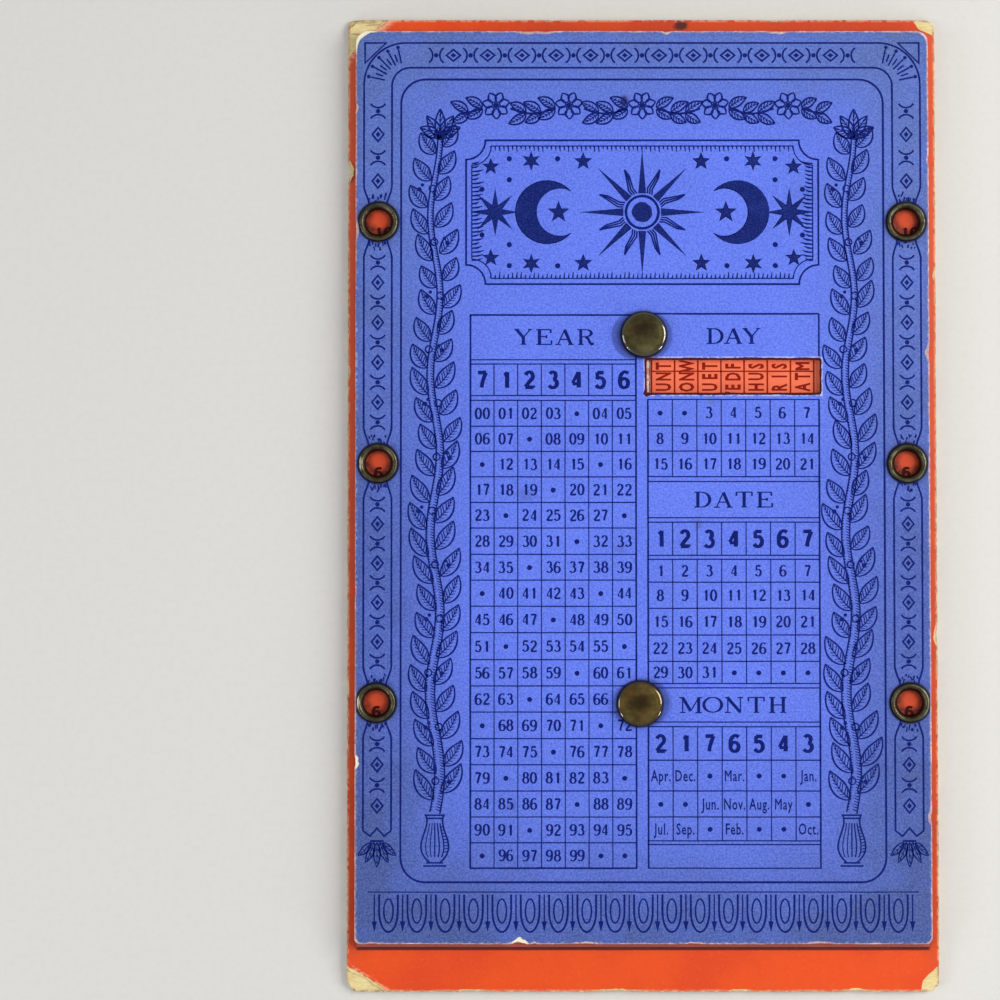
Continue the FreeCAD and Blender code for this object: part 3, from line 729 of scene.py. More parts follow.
backCard = {
    "boardRadii": (1.2, 2.4, 2.2, 1.0),
    "plyTears": (0.0, 0.1, 0.2, 0.32, 0.95),
    "paperWear": {"left": 0.24, "right": 0.26, "top": 0.12, "bottom": 0.3},
    "paperRough": 0.12,
    "tears": (
        ((-67.0, -110.5), (9.4, 5.9), 0.03),
        ((67.0, -110.5), (4.6, 6.4), 0.12),
        ((67.0, 110.5), (5.5, 4.2), 0.10),
        ((-67.0, 110.5), (9.6, 9.0), -0.06),
    ),
    "bites": (
        (-67.0, 75.5, 4.6, 0.95), (-67.0, 30.0, 2.4, 0.3), (-67.0, -42.0, 3.0, 0.35),
        (-38.0, -110.5, 7.0, 0.35), (-6.0, -110.5, 9.0, 0.4), (22.0, -110.5, 5.0, 0.3),
        (48.0, -110.5, 6.0, 0.5), (67.0, -30.0, 4.0, 0.6), (67.0, 52.0, 3.0, 0.4),
        (30.0, 110.5, 5.0, 0.3), (-20.0, 110.5, 4.0, 0.15),
    ),
    "cornerCuts": (((-67.0, -110.5), (2.0, 3.1)), ((67.0, -110.5), (1.6, 2.0)), ((67.0, 110.5), (1.2, 1.0))),
    "pinHole": 1.58,
    "pocketRadius": 6.3,
}


def cutCorner(points, corner, reach, bow, rough):
    # the part of a closed line beyond a torn line from one side of a corner to the other is
    # pulled back onto that line, which bows and frays
    inward = -np.sign(corner)
    offset = (points - np.array(corner)) * inward
    share = offset[:, 0] / reach[0] + offset[:, 1] / reach[1]
    inside = np.flatnonzero(share < 1)
    if not len(inside):
        return points
    breaks = np.flatnonzero(np.diff(inside) > 1)
    run = np.roll(inside, -(breaks[0] + 1)) if len(breaks) else inside
    first, last = points[run[0]], points[run[-1]]
    span = np.hypot(*(last - first))
    count = max(8, int(span / 0.35))
    along = np.linspace(0, 1, count)
    square = np.array([last[1] - first[1], first[0] - last[0]]) / span
    if np.dot(square, inward) < 0:
        square = -square
    arch = np.sin(np.pi * along)
    drop = bow * span * arch + rough * ragged(count, span, (2.6, 1.1, 0.5), (0.45, 0.35, 0.2)) * arch ** 0.4
    torn = first + (last - first) * along[:, None] + square * drop[:, None]
    keep = np.setdiff1d(np.arange(len(points)), run)
    start = np.searchsorted(keep, run[0]) if run[0] > keep[0] else 0
    if run[0] > run[-1]:
        return np.vstack([points[keep], torn])
    return np.vstack([points[keep[:start]], torn, points[keep[start:]]])


def backPieces():
    plan = backCard
    outline, length = cardOutline(backLow, backHigh, plan["boardRadii"])
    boardLow, boardHigh = nodeBox("back_board")
    shell = worn(outline, length, 0.06, 0.06,
                 [(x, y, wide * 0.8, deep * 0.4) for x, y, wide, deep in plan["bites"]])
    for corner, reach in plan["cornerCuts"]:
        shell = cutCorner(shell, corner, reach, 0.03, 0.12)
    thick = (boardHigh[2] - boardLow[2]) / len(plan["plyTears"])
    pins = [ring(spot, plan["pinHole"], 28) for spot in studSpots]
    pockets = [ring(spot, plan["pocketRadius"], 64, 0.05) for spot in studSpots]
    parts = []
    for ply, share in enumerate(plan["plyTears"]):
        low = boardLow[2] + ply * thick
        loop = shell
        for corner, reach, bow in plan["tears"]:
            if share > 0.0:
                loop = cutCorner(loop, corner, np.array(reach) * share, bow, 0.22 + 0.1 * ply)
        loop = loop - sideways(loop) * (0.03 * ragged(len(loop), length, (3.0, 0.9), (0.5, 0.5)))[:, None]
        holes = pockets if low - boardLow[2] < 1.0 else pins
        holes = [hole - sideways(hole) * 0.02 * ply for hole in holes]
        parts.append(plate([loop] + holes, rounded(low + 0.008, low + thick - 0.008, 0.05, 2)))
    makePiece("back_pasteboard", *joined(parts), "back_board", "cards", finishes["backBoard"], "back_board")

    wear = sideWear(outline, backLow, backHigh, plan["paperWear"])
    paper = worn(outline, length, wear, plan["paperRough"], plan["bites"])
    for corner, reach, bow in plan["tears"]:
        paper = cutCorner(paper, corner, reach, bow, 0.35)
    levels = [(0.0, backLow[2]), (0.0, backHigh[2] - 0.04), (0.05, backHigh[2])]
    makePiece("back_orange_paper", *plate([paper] + pins, levels),
              "back_face", "cards", finishes["orange"], "back_face_sheet")
    liningLow, liningHigh = nodeBox("back_lining_sheet")
    lining = worn(outline, length, 0.5, 0.35, [(x, y, w * 1.4, d * 1.5) for x, y, w, d in plan["bites"]])
    for corner, reach, bow in plan["tears"]:
        lining = cutCorner(lining, corner, np.array(reach) * 0.55, bow, 0.3)
    pockets = [ring(spot, plan["pocketRadius"] - 0.05, 64, 0.12) for spot in studSpots]
    levels = [(0.04, liningLow[2]), (0.0, liningLow[2] + 0.04), (0.0, liningHigh[2])]
    makePiece("back_rear_paper", *plate([lining] + pockets, levels),
              "back_lining", "cards", finishes["lining"], "back_lining_sheet")


slideCard = {
    "slotHalf": 1.37,
    "slotReach": (39.25, 5.65),
    "paperWear": 0.12,
    "slotFray": 0.36,
}


def slidePieces():
    plan = slideCard
    low, high = nodeBox("slide_board")
    sheetLow, sheetHigh = nodeBox("slide_face_sheet")
    outline, length = cardOutline(low, high, (0.5, 0.5, 1.2, 1.2))
    board = worn(outline, length, 0.05, 0.05)
    below, above = plan["slotReach"]
    slots = [cardOutline(spot - (plan["slotHalf"], below), spot + (plan["slotHalf"], above), (0.4,) * 4, 0.4)
             for spot in studSpots]
    holes = [loop[::-1] for loop, _ in slots]
    makePiece("slide_pasteboard", *plate([board] + holes, rounded(low[2], high[2], 0.1, 2)),
              "slide_board", "slide", finishes["slideBoard"], "slide_board")
    paper = worn(outline, length, plan["paperWear"], 0.1)
    frayed = []
    for loop, around in slots:
        hole = loop[::-1]
        wear = plan["slotFray"] * (0.7 + 0.9 * ragged(len(hole), around, (4.0, 1.5, 0.7), (0.35, 0.35, 0.3)))
        frayed.append(hole - sideways(hole) * np.maximum(wear, 0.03)[:, None])
    levels = [(0.0, sheetLow[2]), (0.0, sheetHigh[2] - 0.03), (0.04, sheetHigh[2])]
    makePiece("slide_salmon_paper", *plate([paper] + frayed, levels),
              "slide_face", "slide", finishes["salmon"], "slide_face_sheet")


frontPieces()
backPieces()
slidePieces()
print("cards and papers made")


# Brass

def wallFaces(count, rows, closed=False):
    # four-sided faces between each ring of points and the next
    here = np.arange(count)
    after = (here + 1) % count
    faces = []
    for row in range(rows if closed else rows - 1):
        a, b = row * count, (row + 1) % rows * count
        faces += np.column_stack([a + here, a + after, b + after, b + here]).tolist()
    return faces


def turned(profile, middle, count=96, dents=0.0, closed=False):
    # a profile of radius and height turned about a line square to the card; the radius swells
    # and shrinks a little round the turn
    radius, height = np.asarray(profile, float).T
    angle = np.linspace(0, 2 * np.pi, count, endpoint=False)
    swell = 1 + dents * ragged(count, 30, (9.0, 4.0), (0.7, 0.3))
    poles = [0 if radius[0] < 1e-6 else None, len(radius) - 1 if radius[-1] < 1e-6 else None]
    body = np.flatnonzero(radius > 1e-6)
    grid = np.stack([middle[0] + np.outer(radius[body], np.cos(angle) * swell),
                     middle[1] + np.outer(radius[body], np.sin(angle) * swell),
                     np.outer(height[body], np.ones(count))], axis=-1)
    rows = len(body)
    here = np.arange(count)
    after = (here + 1) % count
    faces = wallFaces(count, rows, closed)
    points = grid.reshape(-1, 3)
    for end, (pole, row) in enumerate(zip(poles, (0, rows - 1))):
        if pole is not None:
            points = np.vstack([points, [[middle[0], middle[1], height[pole]]]])
            tip = len(points) - 1
            near = row * count
            fan = np.column_stack([np.full(count, tip), near + after, near + here])
            faces += (fan if end == 0 else fan[:, ::-1]).tolist()
    return points, faces


eyeletPlan = {"bore": 2.85, "mouth": 3.3, "flange": 4.5, "wall": 0.35, "clench": 0.95, "clenchThick": 0.3}
capPlan = {"radius": 5.2, "wall": 0.3, "crown": 0.25, "lip": 0.45, "groove": (4.05, 0.3, 0.02)}


def eyelets():
    plan = eyeletPlan
    for name, spot in zip(eyeletNames, eyeletSpots):
        low, high = nodeBox(name)
        seat = frontHigh[2]
        rise = high[2] - seat
        width = plan["flange"] - plan["mouth"]
        crown = arc((plan["mouth"] + width / 2, seat + 0.02), width / 2, rise - 0.02, 0, 158, 20)
        bore, foot = plan["bore"], low[2]
        wall, clench = bore + plan["wall"], bore + plan["clench"]
        funnel = [(plan["mouth"] - 0.14, seat + 0.1), (bore + 0.14, seat - 0.08), (bore + 0.04, seat - 0.24)]
        barrel = [(bore, seat - 0.5), (bore + 0.02, foot + 0.25), (bore + 0.1, foot + 0.06),
                  (bore + 0.3, foot)]
        lip = [(clench, foot + 0.02), (clench, foot + 0.2), (wall, foot + plan["clenchThick"]),
               (wall, seat - 0.05), (plan["flange"] - plan["wall"], seat)]
        profile = np.vstack([crown, funnel, barrel, lip])
        makePiece(f"{name}_rolled", *turned(profile, spot, 88, 0.006, closed=True),
                  "eyelet_brass", "cards", finishes["eyelet"], name, smooth=True)


def studCaps():
    # a low dome with a shallow groove near its edge, rolled over a half round rim to a flat lip
    plan = capPlan
    groove, half, depth = plan["groove"]
    for name, spot, finish in zip(studNames, studSpots, ("upperCap", "lowerCap")):
        low, high = nodeBox(name)
        foot, top = low[2], high[2]
        roll = (top - foot - plan["crown"]) / 2
        reach = plan["radius"] - roll
        across = np.concatenate([np.linspace(0, reach - 0.7, 9), np.linspace(reach - 0.6, reach, 10)])
        dip = depth * np.exp(-((across - groove) / half) ** 2)
        crown = np.column_stack([across, top - plan["crown"] * (across / reach) ** 2 - dip])
        rollOver = arc((reach, foot + roll), roll, roll, 84, -90, 20)
        inner = arc((reach, foot + roll), roll - plan["wall"], roll - plan["wall"], -90, 84, 12)
        underside = np.array([[reach * 0.5, top - plan["wall"] - 0.08], [0, top - plan["wall"]]])
        lip = [(reach - plan["lip"], foot), (reach - plan["lip"], foot + plan["wall"])]
        profile = np.vstack([crown, rollOver, lip, inner, underside])[::-1]
        makePiece(f"{name}_domed", *turned(profile, spot, 112, 0.004),
                  "cap_brass", "cards", finishes[finish], name, smooth=True)


pinPlan = {
    "half": 1.3,
    "thick": 0.5,
    "leg": 0.3,
    "bend": 0.4,
    "footEnd": 5.4,
    "headEnd": 3.9,
    "headFold": 0.25,
    "tip": 1.1,
    "edge": 0.07,
    "hole": 1.58,
    "washer": 6.0,
}


def splitPins():
    # one strip swept along its fold: foot, leg, flat head, leg and foot again, the feet round at their
    # tips; its half width near a tip is that of a circle
    plan = pinPlan
    for name, spot in zip(("upper_split_pin", "lower_split_pin"), studSpots):
        low, high = nodeBox(name)
        footZ = low[2] + plan["thick"] / 2
        headZ = high[2] - plan["thick"] / 2
        underZ = headZ - 2 * plan["headFold"]
        bend, leg, roll = plan["bend"], plan["leg"], plan["headFold"]
        tipSteps = plan["footEnd"] - plan["tip"] * (1 - np.cos(np.linspace(0, np.pi / 2, 7)))
        flat = np.column_stack([tipSteps, np.full(7, footZ)])
        knee = arc((leg + bend, footZ + bend), bend, bend, 270, 180, 7)
        hip = arc((leg + bend, underZ - bend), bend, bend, 180, 90, 6)
        fold = arc((plan["headEnd"], headZ - roll), roll, roll, -90, 90, 8)
        side = np.vstack([flat, knee, hip, fold])
        line = np.vstack([side, side[::-1] * (-1, 1)])
        run = unit(np.gradient(line, axis=0))
        out = np.column_stack([-run[:, 1], run[:, 0]])
        room = np.clip((plan["footEnd"] - np.abs(line[:, 0])) / plan["tip"], 0.02, 1)
        wide = np.where(line[:, 1] < footZ + 0.01, np.sqrt(1 - (1 - room) ** 2), 1.0) * plan["half"]
        edge, half = plan["edge"], plan["thick"] / 2
        section = ((-1, 0, half), (-1, edge, half), (1, edge, half), (1, 0, half))
        rings = []
        for sign, order in ((1, section), (-1, section[::-1])):
            for way, inset, rise in order:
                lift = (rise - (edge if inset == 0 else 0)) * sign
                across = way * (wide - inset)
                rings.append(np.column_stack([spot[0] + across, spot[1] + line[:, 0] + out[:, 0] * lift,
                                              line[:, 1] + out[:, 1] * lift]))
        points = np.stack(rings, axis=1)
        rows, size = points.shape[:2]
        faces = wallFaces(size, rows)
        faces += [list(range(size))[::-1], list(range((rows - 1) * size, rows * size))]
        makePiece(f"{name}_folded", points.reshape(-1, 3), faces, "pin_brass", "cards", finishes["pin"], name)


def rearWashers():
    plan = pinPlan
    for name, spot in zip(("upper_rear_washer", "lower_rear_washer"), studSpots):
        low, high = nodeBox(name)
        edge, inner, outer, foot, top = plan["edge"], plan["hole"], plan["washer"], low[2], high[2]
        profile = [(inner, foot + edge), (inner + edge, foot), (outer - edge, foot), (outer, foot + edge),
                   (outer, top - edge), (outer - edge, top), (inner + edge, top), (inner, top - edge)]
        makePiece(f"{name}_ring", *turned(profile, spot, 96, 0.002, closed=True),
                  "pin_brass", "cards", finishes["pin"], name)


eyelets()
studCaps()
splitPins()
rearWashers()
print("eyelets, caps, pins and washers made")


# Printing

inkPlan = {"lift": 0.012, "layer": 0.0022, "layers": 5, "unevenness": 0.09}


class Print:
    # ink of one colour on one sheet, gathered as strips and filled shapes
    def __init__(self, height):
        self.height = height
        self.parts = []

    def lay(self, points, faces):
        # shapes lie on a few levels in turn, so that crossing strokes never share a plane
        level = len(self.parts) % inkPlan["layers"]
        height = self.height + inkPlan["lift"] + inkPlan["layer"] * level
        self.parts.append((np.column_stack([points, np.full(len(points), height)]), faces))

    def stroke(self, line, width):
        # strip along a line: its sides stand half a width off it, mitred where it turns
        line = np.asarray(line, float)
        closed = len(line) > 3 and np.hypot(*(line[0] - line[-1])) < 1e-6
        swell = 1 + inkPlan["unevenness"] * dice.uniform(-1, 1, len(line))
        width = np.broadcast_to(width, len(line)) * swell
        if closed:
            line, width = line[:-1], width[:-1]
        runs = np.diff(closedLine(line) if closed else line, axis=0)
        ahead = unit(runs if closed else np.vstack([runs, runs[-1:]]))
        behind = unit(np.roll(runs, 1, axis=0) if closed else np.vstack([runs[:1], runs]))
        middle = unit(ahead + behind)
        mitre = 1 / np.maximum((middle * ahead).sum(axis=1), 0.5)
        side = np.column_stack([-middle[:, 1], middle[:, 0]]) * (width / 2 * mitre)[:, None]
        count = len(line)
        here = np.arange(count if closed else count - 1)
        after = (here + 1) % count
        faces = np.column_stack([here + count, after + count, after, here])
        self.lay(np.vstack([line + side, line - side]), faces.tolist())

    def fill(self, rim, middle=None):
        # shape filled from a middle that sees its whole rim
        rim = np.asarray(rim, float)
        after = np.roll(rim, -1, axis=0)
        if (rim[:, 0] * after[:, 1] - rim[:, 1] * after[:, 0]).sum() < 0:
            rim = rim[::-1]
        middle = rim.mean(axis=0) if middle is None else middle
        here = np.arange(len(rim))
        faces = np.column_stack([here, (here + 1) % len(rim), np.full(len(rim), len(rim))])
        self.lay(np.vstack([rim, [middle]]), faces.tolist())

    def dot(self, middle, radius, count=12):
        swell = radius * (1 + inkPlan["unevenness"] * dice.uniform(-0.6, 0.6, count))
        self.fill(np.asarray(middle) + arc((0, 0), 1, 1, 0, 360, count + 1)[:-1] * swell[:, None])

    def between(self, first, second):
        # band between two lines of as many points
        count = len(first)
        here = np.arange(count - 1)
        faces = np.column_stack([here + count, here + count + 1, here + 1, here])
        area = np.cross(second[1] - second[0], first[0] - second[0])
        self.lay(np.vstack([first, second]), (faces if area > 0 else faces[:, ::-1]).tolist())

    def piece(self, name, slot, body, material):
        return makePiece(name, *joined(self.parts), slot, body, material)


def rulerLine(start, end, step=5.0, wander=0.02):
    # straight line with a hair of wander
    start, end = np.array(start, float), np.array(end, float)
    count = max(2, int(np.hypot(*(end - start)) / step) + 1)
    share = np.linspace(0, 1, count)[:, None]
    return start + (end - start) * share + dice.uniform(-wander, wander, (count, 2))


# Figures and capitals as the lines that a pen follows, in a box one unit wide and high. Each line
# has a weight from hairline, 0, to stem, 1; with no weight its upright runs are the thick ones.

def foot(x, y, half=0.17):
    return ([(x - half, y), (x + half, y)], 0.1)


def figures():
    ellipse = arc((0.5, 0.29), 0.5, 0.29, 180, 540, 17)
    six = [(np.vstack([arc((0.62, 0.52), 0.62, 0.48, 52, 180, 9), [(0.0, 0.3)]]), None), (ellipse, None)]
    return {
        "0": [(arc((0.5, 0.5), 0.5, 0.5, 0, 360, 21), None)],
        "1": [([(0.66, 1), (0.66, 0)], 1.0), ([(0.66, 0.99), (0.5, 0.86), (0.28, 0.8)], 0.2)],
        "2": [(np.vstack([arc((0.49, 0.73), 0.44, 0.27, 165, -32, 11), [(0.42, 0.33), (0.03, 0.04)]]), None),
              ([(0.0, 0.03), (1.0, 0.03)], 0.75), ([(1.0, 0.0), (1.0, 0.14)], 0.3)],
        "3": [(arc((0.45, 0.76), 0.38, 0.24, 152, -84, 11), None),
              (arc((0.45, 0.27), 0.52, 0.27, 84, -152, 12), None)],
        "4": [([(0.7, 0.98), (0.0, 0.28)], 0.1), ([(0.0, 0.24), (1.04, 0.24)], 0.1),
              ([(0.76, 1), (0.76, 0)], 1.0)],
        "5": [([(0.14, 0.95), (0.92, 0.95)], 0.8), ([(0.15, 0.97), (0.12, 0.52)], 0.35),
              (arc((0.46, 0.32), 0.52, 0.32, 130, -152, 13), None)],
        "6": six,
        "7": [([(0.0, 0.95), (1.0, 0.95)], 0.8),
              ([(0.98, 0.95), (0.72, 0.62), (0.53, 0.3), (0.44, 0)], 0.85)],
        "8": [(arc((0.5, 0.76), 0.4, 0.24, 0, 360, 15), None),
              (arc((0.5, 0.27), 0.5, 0.27, 0, 360, 17), None)],
        "9": [(1 - line, weight) for line, weight in six],
    }


def capitals():
    bowl = np.vstack([[(0.2, 1.0)], arc((0.44, 0.5), 0.5, 0.5, 85, -85, 13), [(0.2, 0.0)]])
    loop = np.vstack([[(0.22, 1.0)], arc((0.5, 0.76), 0.36, 0.24, 85, -85, 9), [(0.22, 0.52)]])
    return {
        "A": [([(0.5, 1), (0.1, 0)], 0.15), ([(0.5, 1), (0.88, 0)], 1.0), ([(0.23, 0.34), (0.76, 0.34)], 0.1),
              foot(0.1, 0), foot(0.88, 0)],
        "D": [([(0.22, 0), (0.22, 1)], 1.0), (bowl, None), foot(0.16, 1, 0.15), foot(0.16, 0, 0.15)],
        "E": [([(0.22, 0), (0.22, 1)], 1.0), ([(0.02, 1), (0.9, 1)], 0.1), ([(0.9, 1), (0.9, 0.76)], 0.35),
              ([(0.22, 0.52), (0.64, 0.52)], 0.1), ([(0.64, 0.62), (0.64, 0.42)], 0.35),
              ([(0.02, 0), (0.95, 0)], 0.1), ([(0.95, 0), (0.95, 0.27)], 0.35)],
        "H": [([(0.2, 0), (0.2, 1)], 1.0), ([(0.82, 0), (0.82, 1)], 1.0), ([(0.2, 0.5), (0.82, 0.5)], 0.1),
              foot(0.2, 0), foot(0.2, 1), foot(0.82, 0), foot(0.82, 1)],
        "M": [([(0.12, 0), (0.12, 1)], 0.15), ([(0.12, 1), (0.49, 0.1)], 0.9),
              ([(0.49, 0.1), (0.86, 1)], 0.15), ([(0.86, 0), (0.86, 1)], 1.0),
              foot(0.12, 0, 0.13), foot(0.86, 0, 0.15), foot(0.06, 1, 0.1), foot(0.92, 1, 0.1)],
        "N": [([(0.14, 0), (0.14, 1)], 0.15), ([(0.12, 1), (0.84, 0)], 1.0), ([(0.84, 0), (0.84, 1)], 0.15),
              foot(0.14, 0, 0.16), foot(0.84, 1, 0.16), foot(0.08, 1, 0.1)],
        "O": [(arc((0.5, 0.5), 0.48, 0.5, 0, 360, 23), None)],
        "R": [([(0.22, 0), (0.22, 1)], 1.0), (loop, None),
              ([(0.5, 0.52), (0.66, 0.4), (0.76, 0.14), (0.86, 0.02), (1.0, 0.06)], 0.75),
              foot(0.16, 1, 0.15), foot(0.22, 0)],
        "T": [([(0.5, 0), (0.5, 1)], 1.0), ([(0.03, 1), (0.97, 1)], 0.1), ([(0.03, 1), (0.03, 0.74)], 0.35),
              ([(0.97, 1), (0.97, 0.74)], 0.35), foot(0.5, 0)],
        "Y": [([(0.08, 1), (0.5, 0.46)], 0.9), ([(0.92, 1), (0.5, 0.46)], 0.15),
              ([(0.5, 0.48), (0.5, 0)], 1.0), foot(0.1, 1, 0.15), foot(0.9, 1, 0.13), foot(0.5, 0)],
    }


penLines = {**figures(), **capitals()}
wideLetters = {"M": 1.3, "O": 1.12, "N": 1.08, "H": 1.08}


def written(ink, text, middle, style):
    # letters side by side about a middle, drawn with the pen of one type style
    shift = (len(text) - 1) / 2
    for place, letter in enumerate(text):
        wide = style["wide"] * wideLetters.get(letter, 1.0)
        corner = np.array(middle) + (style["pitch"] * (place - shift), 0) + dice.uniform(-0.05, 0.05, 2)
        for line, weight in penLines[letter]:
            points = (np.asarray(line, float) - 0.5) * (wide, style["high"]) + corner
            if weight is None:
                runs = unit(np.gradient(points, axis=0))
                weight = np.abs(runs[:, 1]) ** 1.4
            pen = style["thin"] + (style["thick"] - style["thin"]) * weight
            ink.stroke(points, np.maximum(pen, style["thin"] * 0.7))


typeShapes = {}


def typeShape(text, bolder):
    # flat faces of a word in the built-in type, made bolder by a small offset of its outline; an M
    # fills up when its outline moves, so words with one keep it
    if (text, bolder) not in typeShapes:
        data = bpy.data.curves.new("type", "FONT")
        data.body = text
        data.resolution_u = 2
        data.offset = 0.0 if "M" in text else bolder
        data.space_character = 1.12
        holder = bpy.data.objects.new("type", data)
        bpy.context.scene.collection.objects.link(holder)
        bpy.context.view_layer.update()
        mesh = bpy.data.meshes.new_from_object(holder)
        points = np.array([vertex.co[:2] for vertex in mesh.vertices])
        faces = [list(face.vertices) for face in mesh.polygons]
        flat = points[faces[0][:3]]
        if np.cross(flat[1] - flat[0], flat[2] - flat[0]) < 0:
            faces = [face[::-1] for face in faces]
        bpy.data.objects.remove(holder)
        bpy.data.meshes.remove(mesh)
        typeShapes[(text, bolder)] = (points, faces)
    return typeShapes[(text, bolder)]


def typed(ink, text, middle, high, narrow, turn=0.0, bolder=0.014):
    points, faces = typeShape(text, bolder)
    capital = typeShape("H", bolder)[0][:, 1].max()
    points = (points - (np.mean([points[:, 0].min(), points[:, 0].max()]), capital / 2)) * high / capital
    points = points * (narrow, 1.0)
    cos, sin = np.cos(np.radians(turn)), np.sin(np.radians(turn))
    points = points @ np.array([[cos, sin], [-sin, cos]]) + np.array(middle)
    for shift in (-1, 1) if "M" in text else (0,):
        ink.lay(points + np.array([cos, sin]) * shift * bolder * high, faces)


styles = {
    "year": {"wide": 1.18, "high": 2.42, "pitch": 1.78, "thick": 0.5, "thin": 0.21},
    "bold": {"wide": 1.85, "high": 3.6, "pitch": 2.4, "thick": 0.92, "thin": 0.7},
    "heading": {"wide": 3.75, "high": 3.35, "pitch": 4.2, "thick": 0.72, "thin": 0.22},
    "century": {"wide": 1.25, "high": 2.5, "pitch": 2.05, "thick": 0.66, "thin": 0.4},
    "key": {"wide": 1.35, "high": 2.1, "pitch": 2.4, "thick": 0.74, "thin": 0.56},
}

tables = {
    "frameLine": 0.4,
    "innerLine": 0.24,
    "dot": 0.57,
    "left": {
        "x": (-39.0, -1.5),
        "heading": (42.58, 32.4),
        "bold": (31.43, 24.26),
        "rows": (23.18, 17.31, 11.6, 5.83, 0.03, -5.75, -11.71, -17.53, -23.44, -29.4, -35.49, -41.42,
                 -47.31, -53.29, -59.16, -65.05, -70.91, -76.69, -82.4),
    },
    "right": {
        "x": (1.2, 40.0),
        "top": 42.85,
        "day": (23.38, 17.39, 11.68, 5.89),
        "date": (4.78, -3.43),
        "dateBold": (-4.42, -11.93),
        "dateRows": (-12.83, -18.0, -23.9, -29.92, -35.87, -40.86),
        "month": (-41.85, -49.55),
        "monthBold": (-50.6, -58.14),
        "monthRows": (-58.14, -65.06, -70.9, -76.26),
        "last": (-77.1, -82.4),
    },
}


def cells(edges, count):
    return np.linspace(edges[0], edges[1], count + 1)


def ruled(ink, xs, ys, columns=True):
    # a rule at each height and a thin rule between the columns
    plan = tables
    for y in ys:
        ink.stroke(rulerLine((xs[0] - 0.1, y), (xs[-1] + 0.1, y)), plan["innerLine"] * 1.15)
    if columns:
        for x in xs[1:-1]:
            ink.stroke(rulerLine((x, max(ys)), (x, min(ys))), plan["innerLine"])


def rowOf(ink, xs, y, items, style):
    for left, right, item in zip(xs[:-1], xs[1:], items):
        middle = ((left + right) / 2, y)
        if item == "":
            ink.dot(np.array(middle) + (0, -0.1), tables["dot"])
        elif item[0].isdigit():
            written(ink, item, middle, styles[style])
        else:
            typed(ink, item, (middle[0], y), 2.5, 0.64)


def fillRows(ink, xs, ys, rows):
    # rows of entries between the heights of their rules
    for low, high, items in zip(ys[1:], ys[:-1], rows):
        rowOf(ink, xs, (high + low) / 2, items, "year")


def yearTable(ink):
    plan = tables["left"]
    xs = cells(plan["x"], 7)
    ys = plan["rows"]
    high, low = plan["heading"]
    ruled(ink, xs, (high, low), columns=False)
    ruled(ink, xs, plan["bold"])
    rowOf(ink, xs, np.mean(plan["bold"]), "7123456", "bold")
    ruled(ink, xs, ys)
    for y in (high, ys[-1]):
        ink.stroke(rulerLine((xs[0], y), (xs[-1], y)), tables["frameLine"])
    middle = ((xs[0] + xs[-1]) / 2 + 0.3, (high + low) / 2 + 0.1)
    written(ink, "YEAR", middle, {**styles["heading"], "pitch": 4.7})
    for x in (xs[0], xs[-1]):
        ink.stroke(rulerLine((x, high), (x, ys[-1])), tables["frameLine"])
    entries = []
    for year in range(100):
        entries += ([""] if year and year % 4 == 0 else []) + [f"{year:02d}"]
    count = len(ys) - 1
    entries += [""] * (7 * count - len(entries))
    fillRows(ink, xs, ys, [entries[7 * row:7 * row + 7] for row in range(count)])


def dayTable(ink):
    plan = tables["right"]
    xs = cells(plan["x"], 7)
    middle = (xs[0] + xs[-1]) / 2
    numbers = [str(number) for number in range(1, 32)]
    ink.stroke(rulerLine((xs[0], plan["top"]), (xs[-1], plan["top"])), tables["frameLine"])
    for x in (xs[0], xs[-1]):
        ink.stroke(rulerLine((x, plan["top"]), (x, windowHigh[1] + 0.5)), tables["frameLine"])
        ink.stroke(rulerLine((x, plan["day"][0]), (x, plan["last"][1])), tables["frameLine"])
    written(ink, "DAY", (middle, (plan["top"] + windowHigh[1]) / 2), styles["heading"])
    ruled(ink, xs, plan["day"])
    fillRows(ink, xs, plan["day"], (["", ""] + numbers[2:7], numbers[7:14], numbers[14:21]))
    dates = [numbers[7 * week:7 * week + 7] for week in range(5)]
    dates[-1] += [""] * (7 - len(dates[-1]))
    months = (("Apr.", "Dec.", "", "Mar.", "", "", "Jan."), ("", "", "Jun.", "Nov.", "Aug.", "May", ""),
              ("Jul.", "Sep.", "", "Feb.", "", "", "Oct."))
    for part, pitch, keys, rows in (("date", 4.7, "1234567", dates), ("month", 4.9, "2176543", months)):
        ruled(ink, xs, plan[part], columns=False)
        written(ink, part.upper(), (middle, np.mean(plan[part])), {**styles["heading"], "pitch": pitch})
        ruled(ink, xs, plan[part + "Bold"])
        rowOf(ink, xs, np.mean(plan[part + "Bold"]), keys, "bold")
        ruled(ink, xs, plan[part + "Rows"])
        fillRows(ink, xs, plan[part + "Rows"], rows)
    ruled(ink, xs, plan["last"], columns=False)


# Ornament

def swayed(start, angle, length, curl, count=14):
    # line of a given length that leaves a point at an angle and turns evenly by curl degrees
    heading = np.radians(angle + curl * np.linspace(0, 1, count))
    step = length / (count - 1)
    ahead = np.column_stack([np.cos(heading), np.sin(heading)]) * step
    return np.array(start) + np.vstack([[(0, 0)], np.cumsum(ahead[:-1], axis=0)])


def offLine(line, off):
    run = unit(np.gradient(line, axis=0))
    return line + np.column_stack([-run[:, 1], run[:, 0]]) * np.reshape(off, (-1, 1))


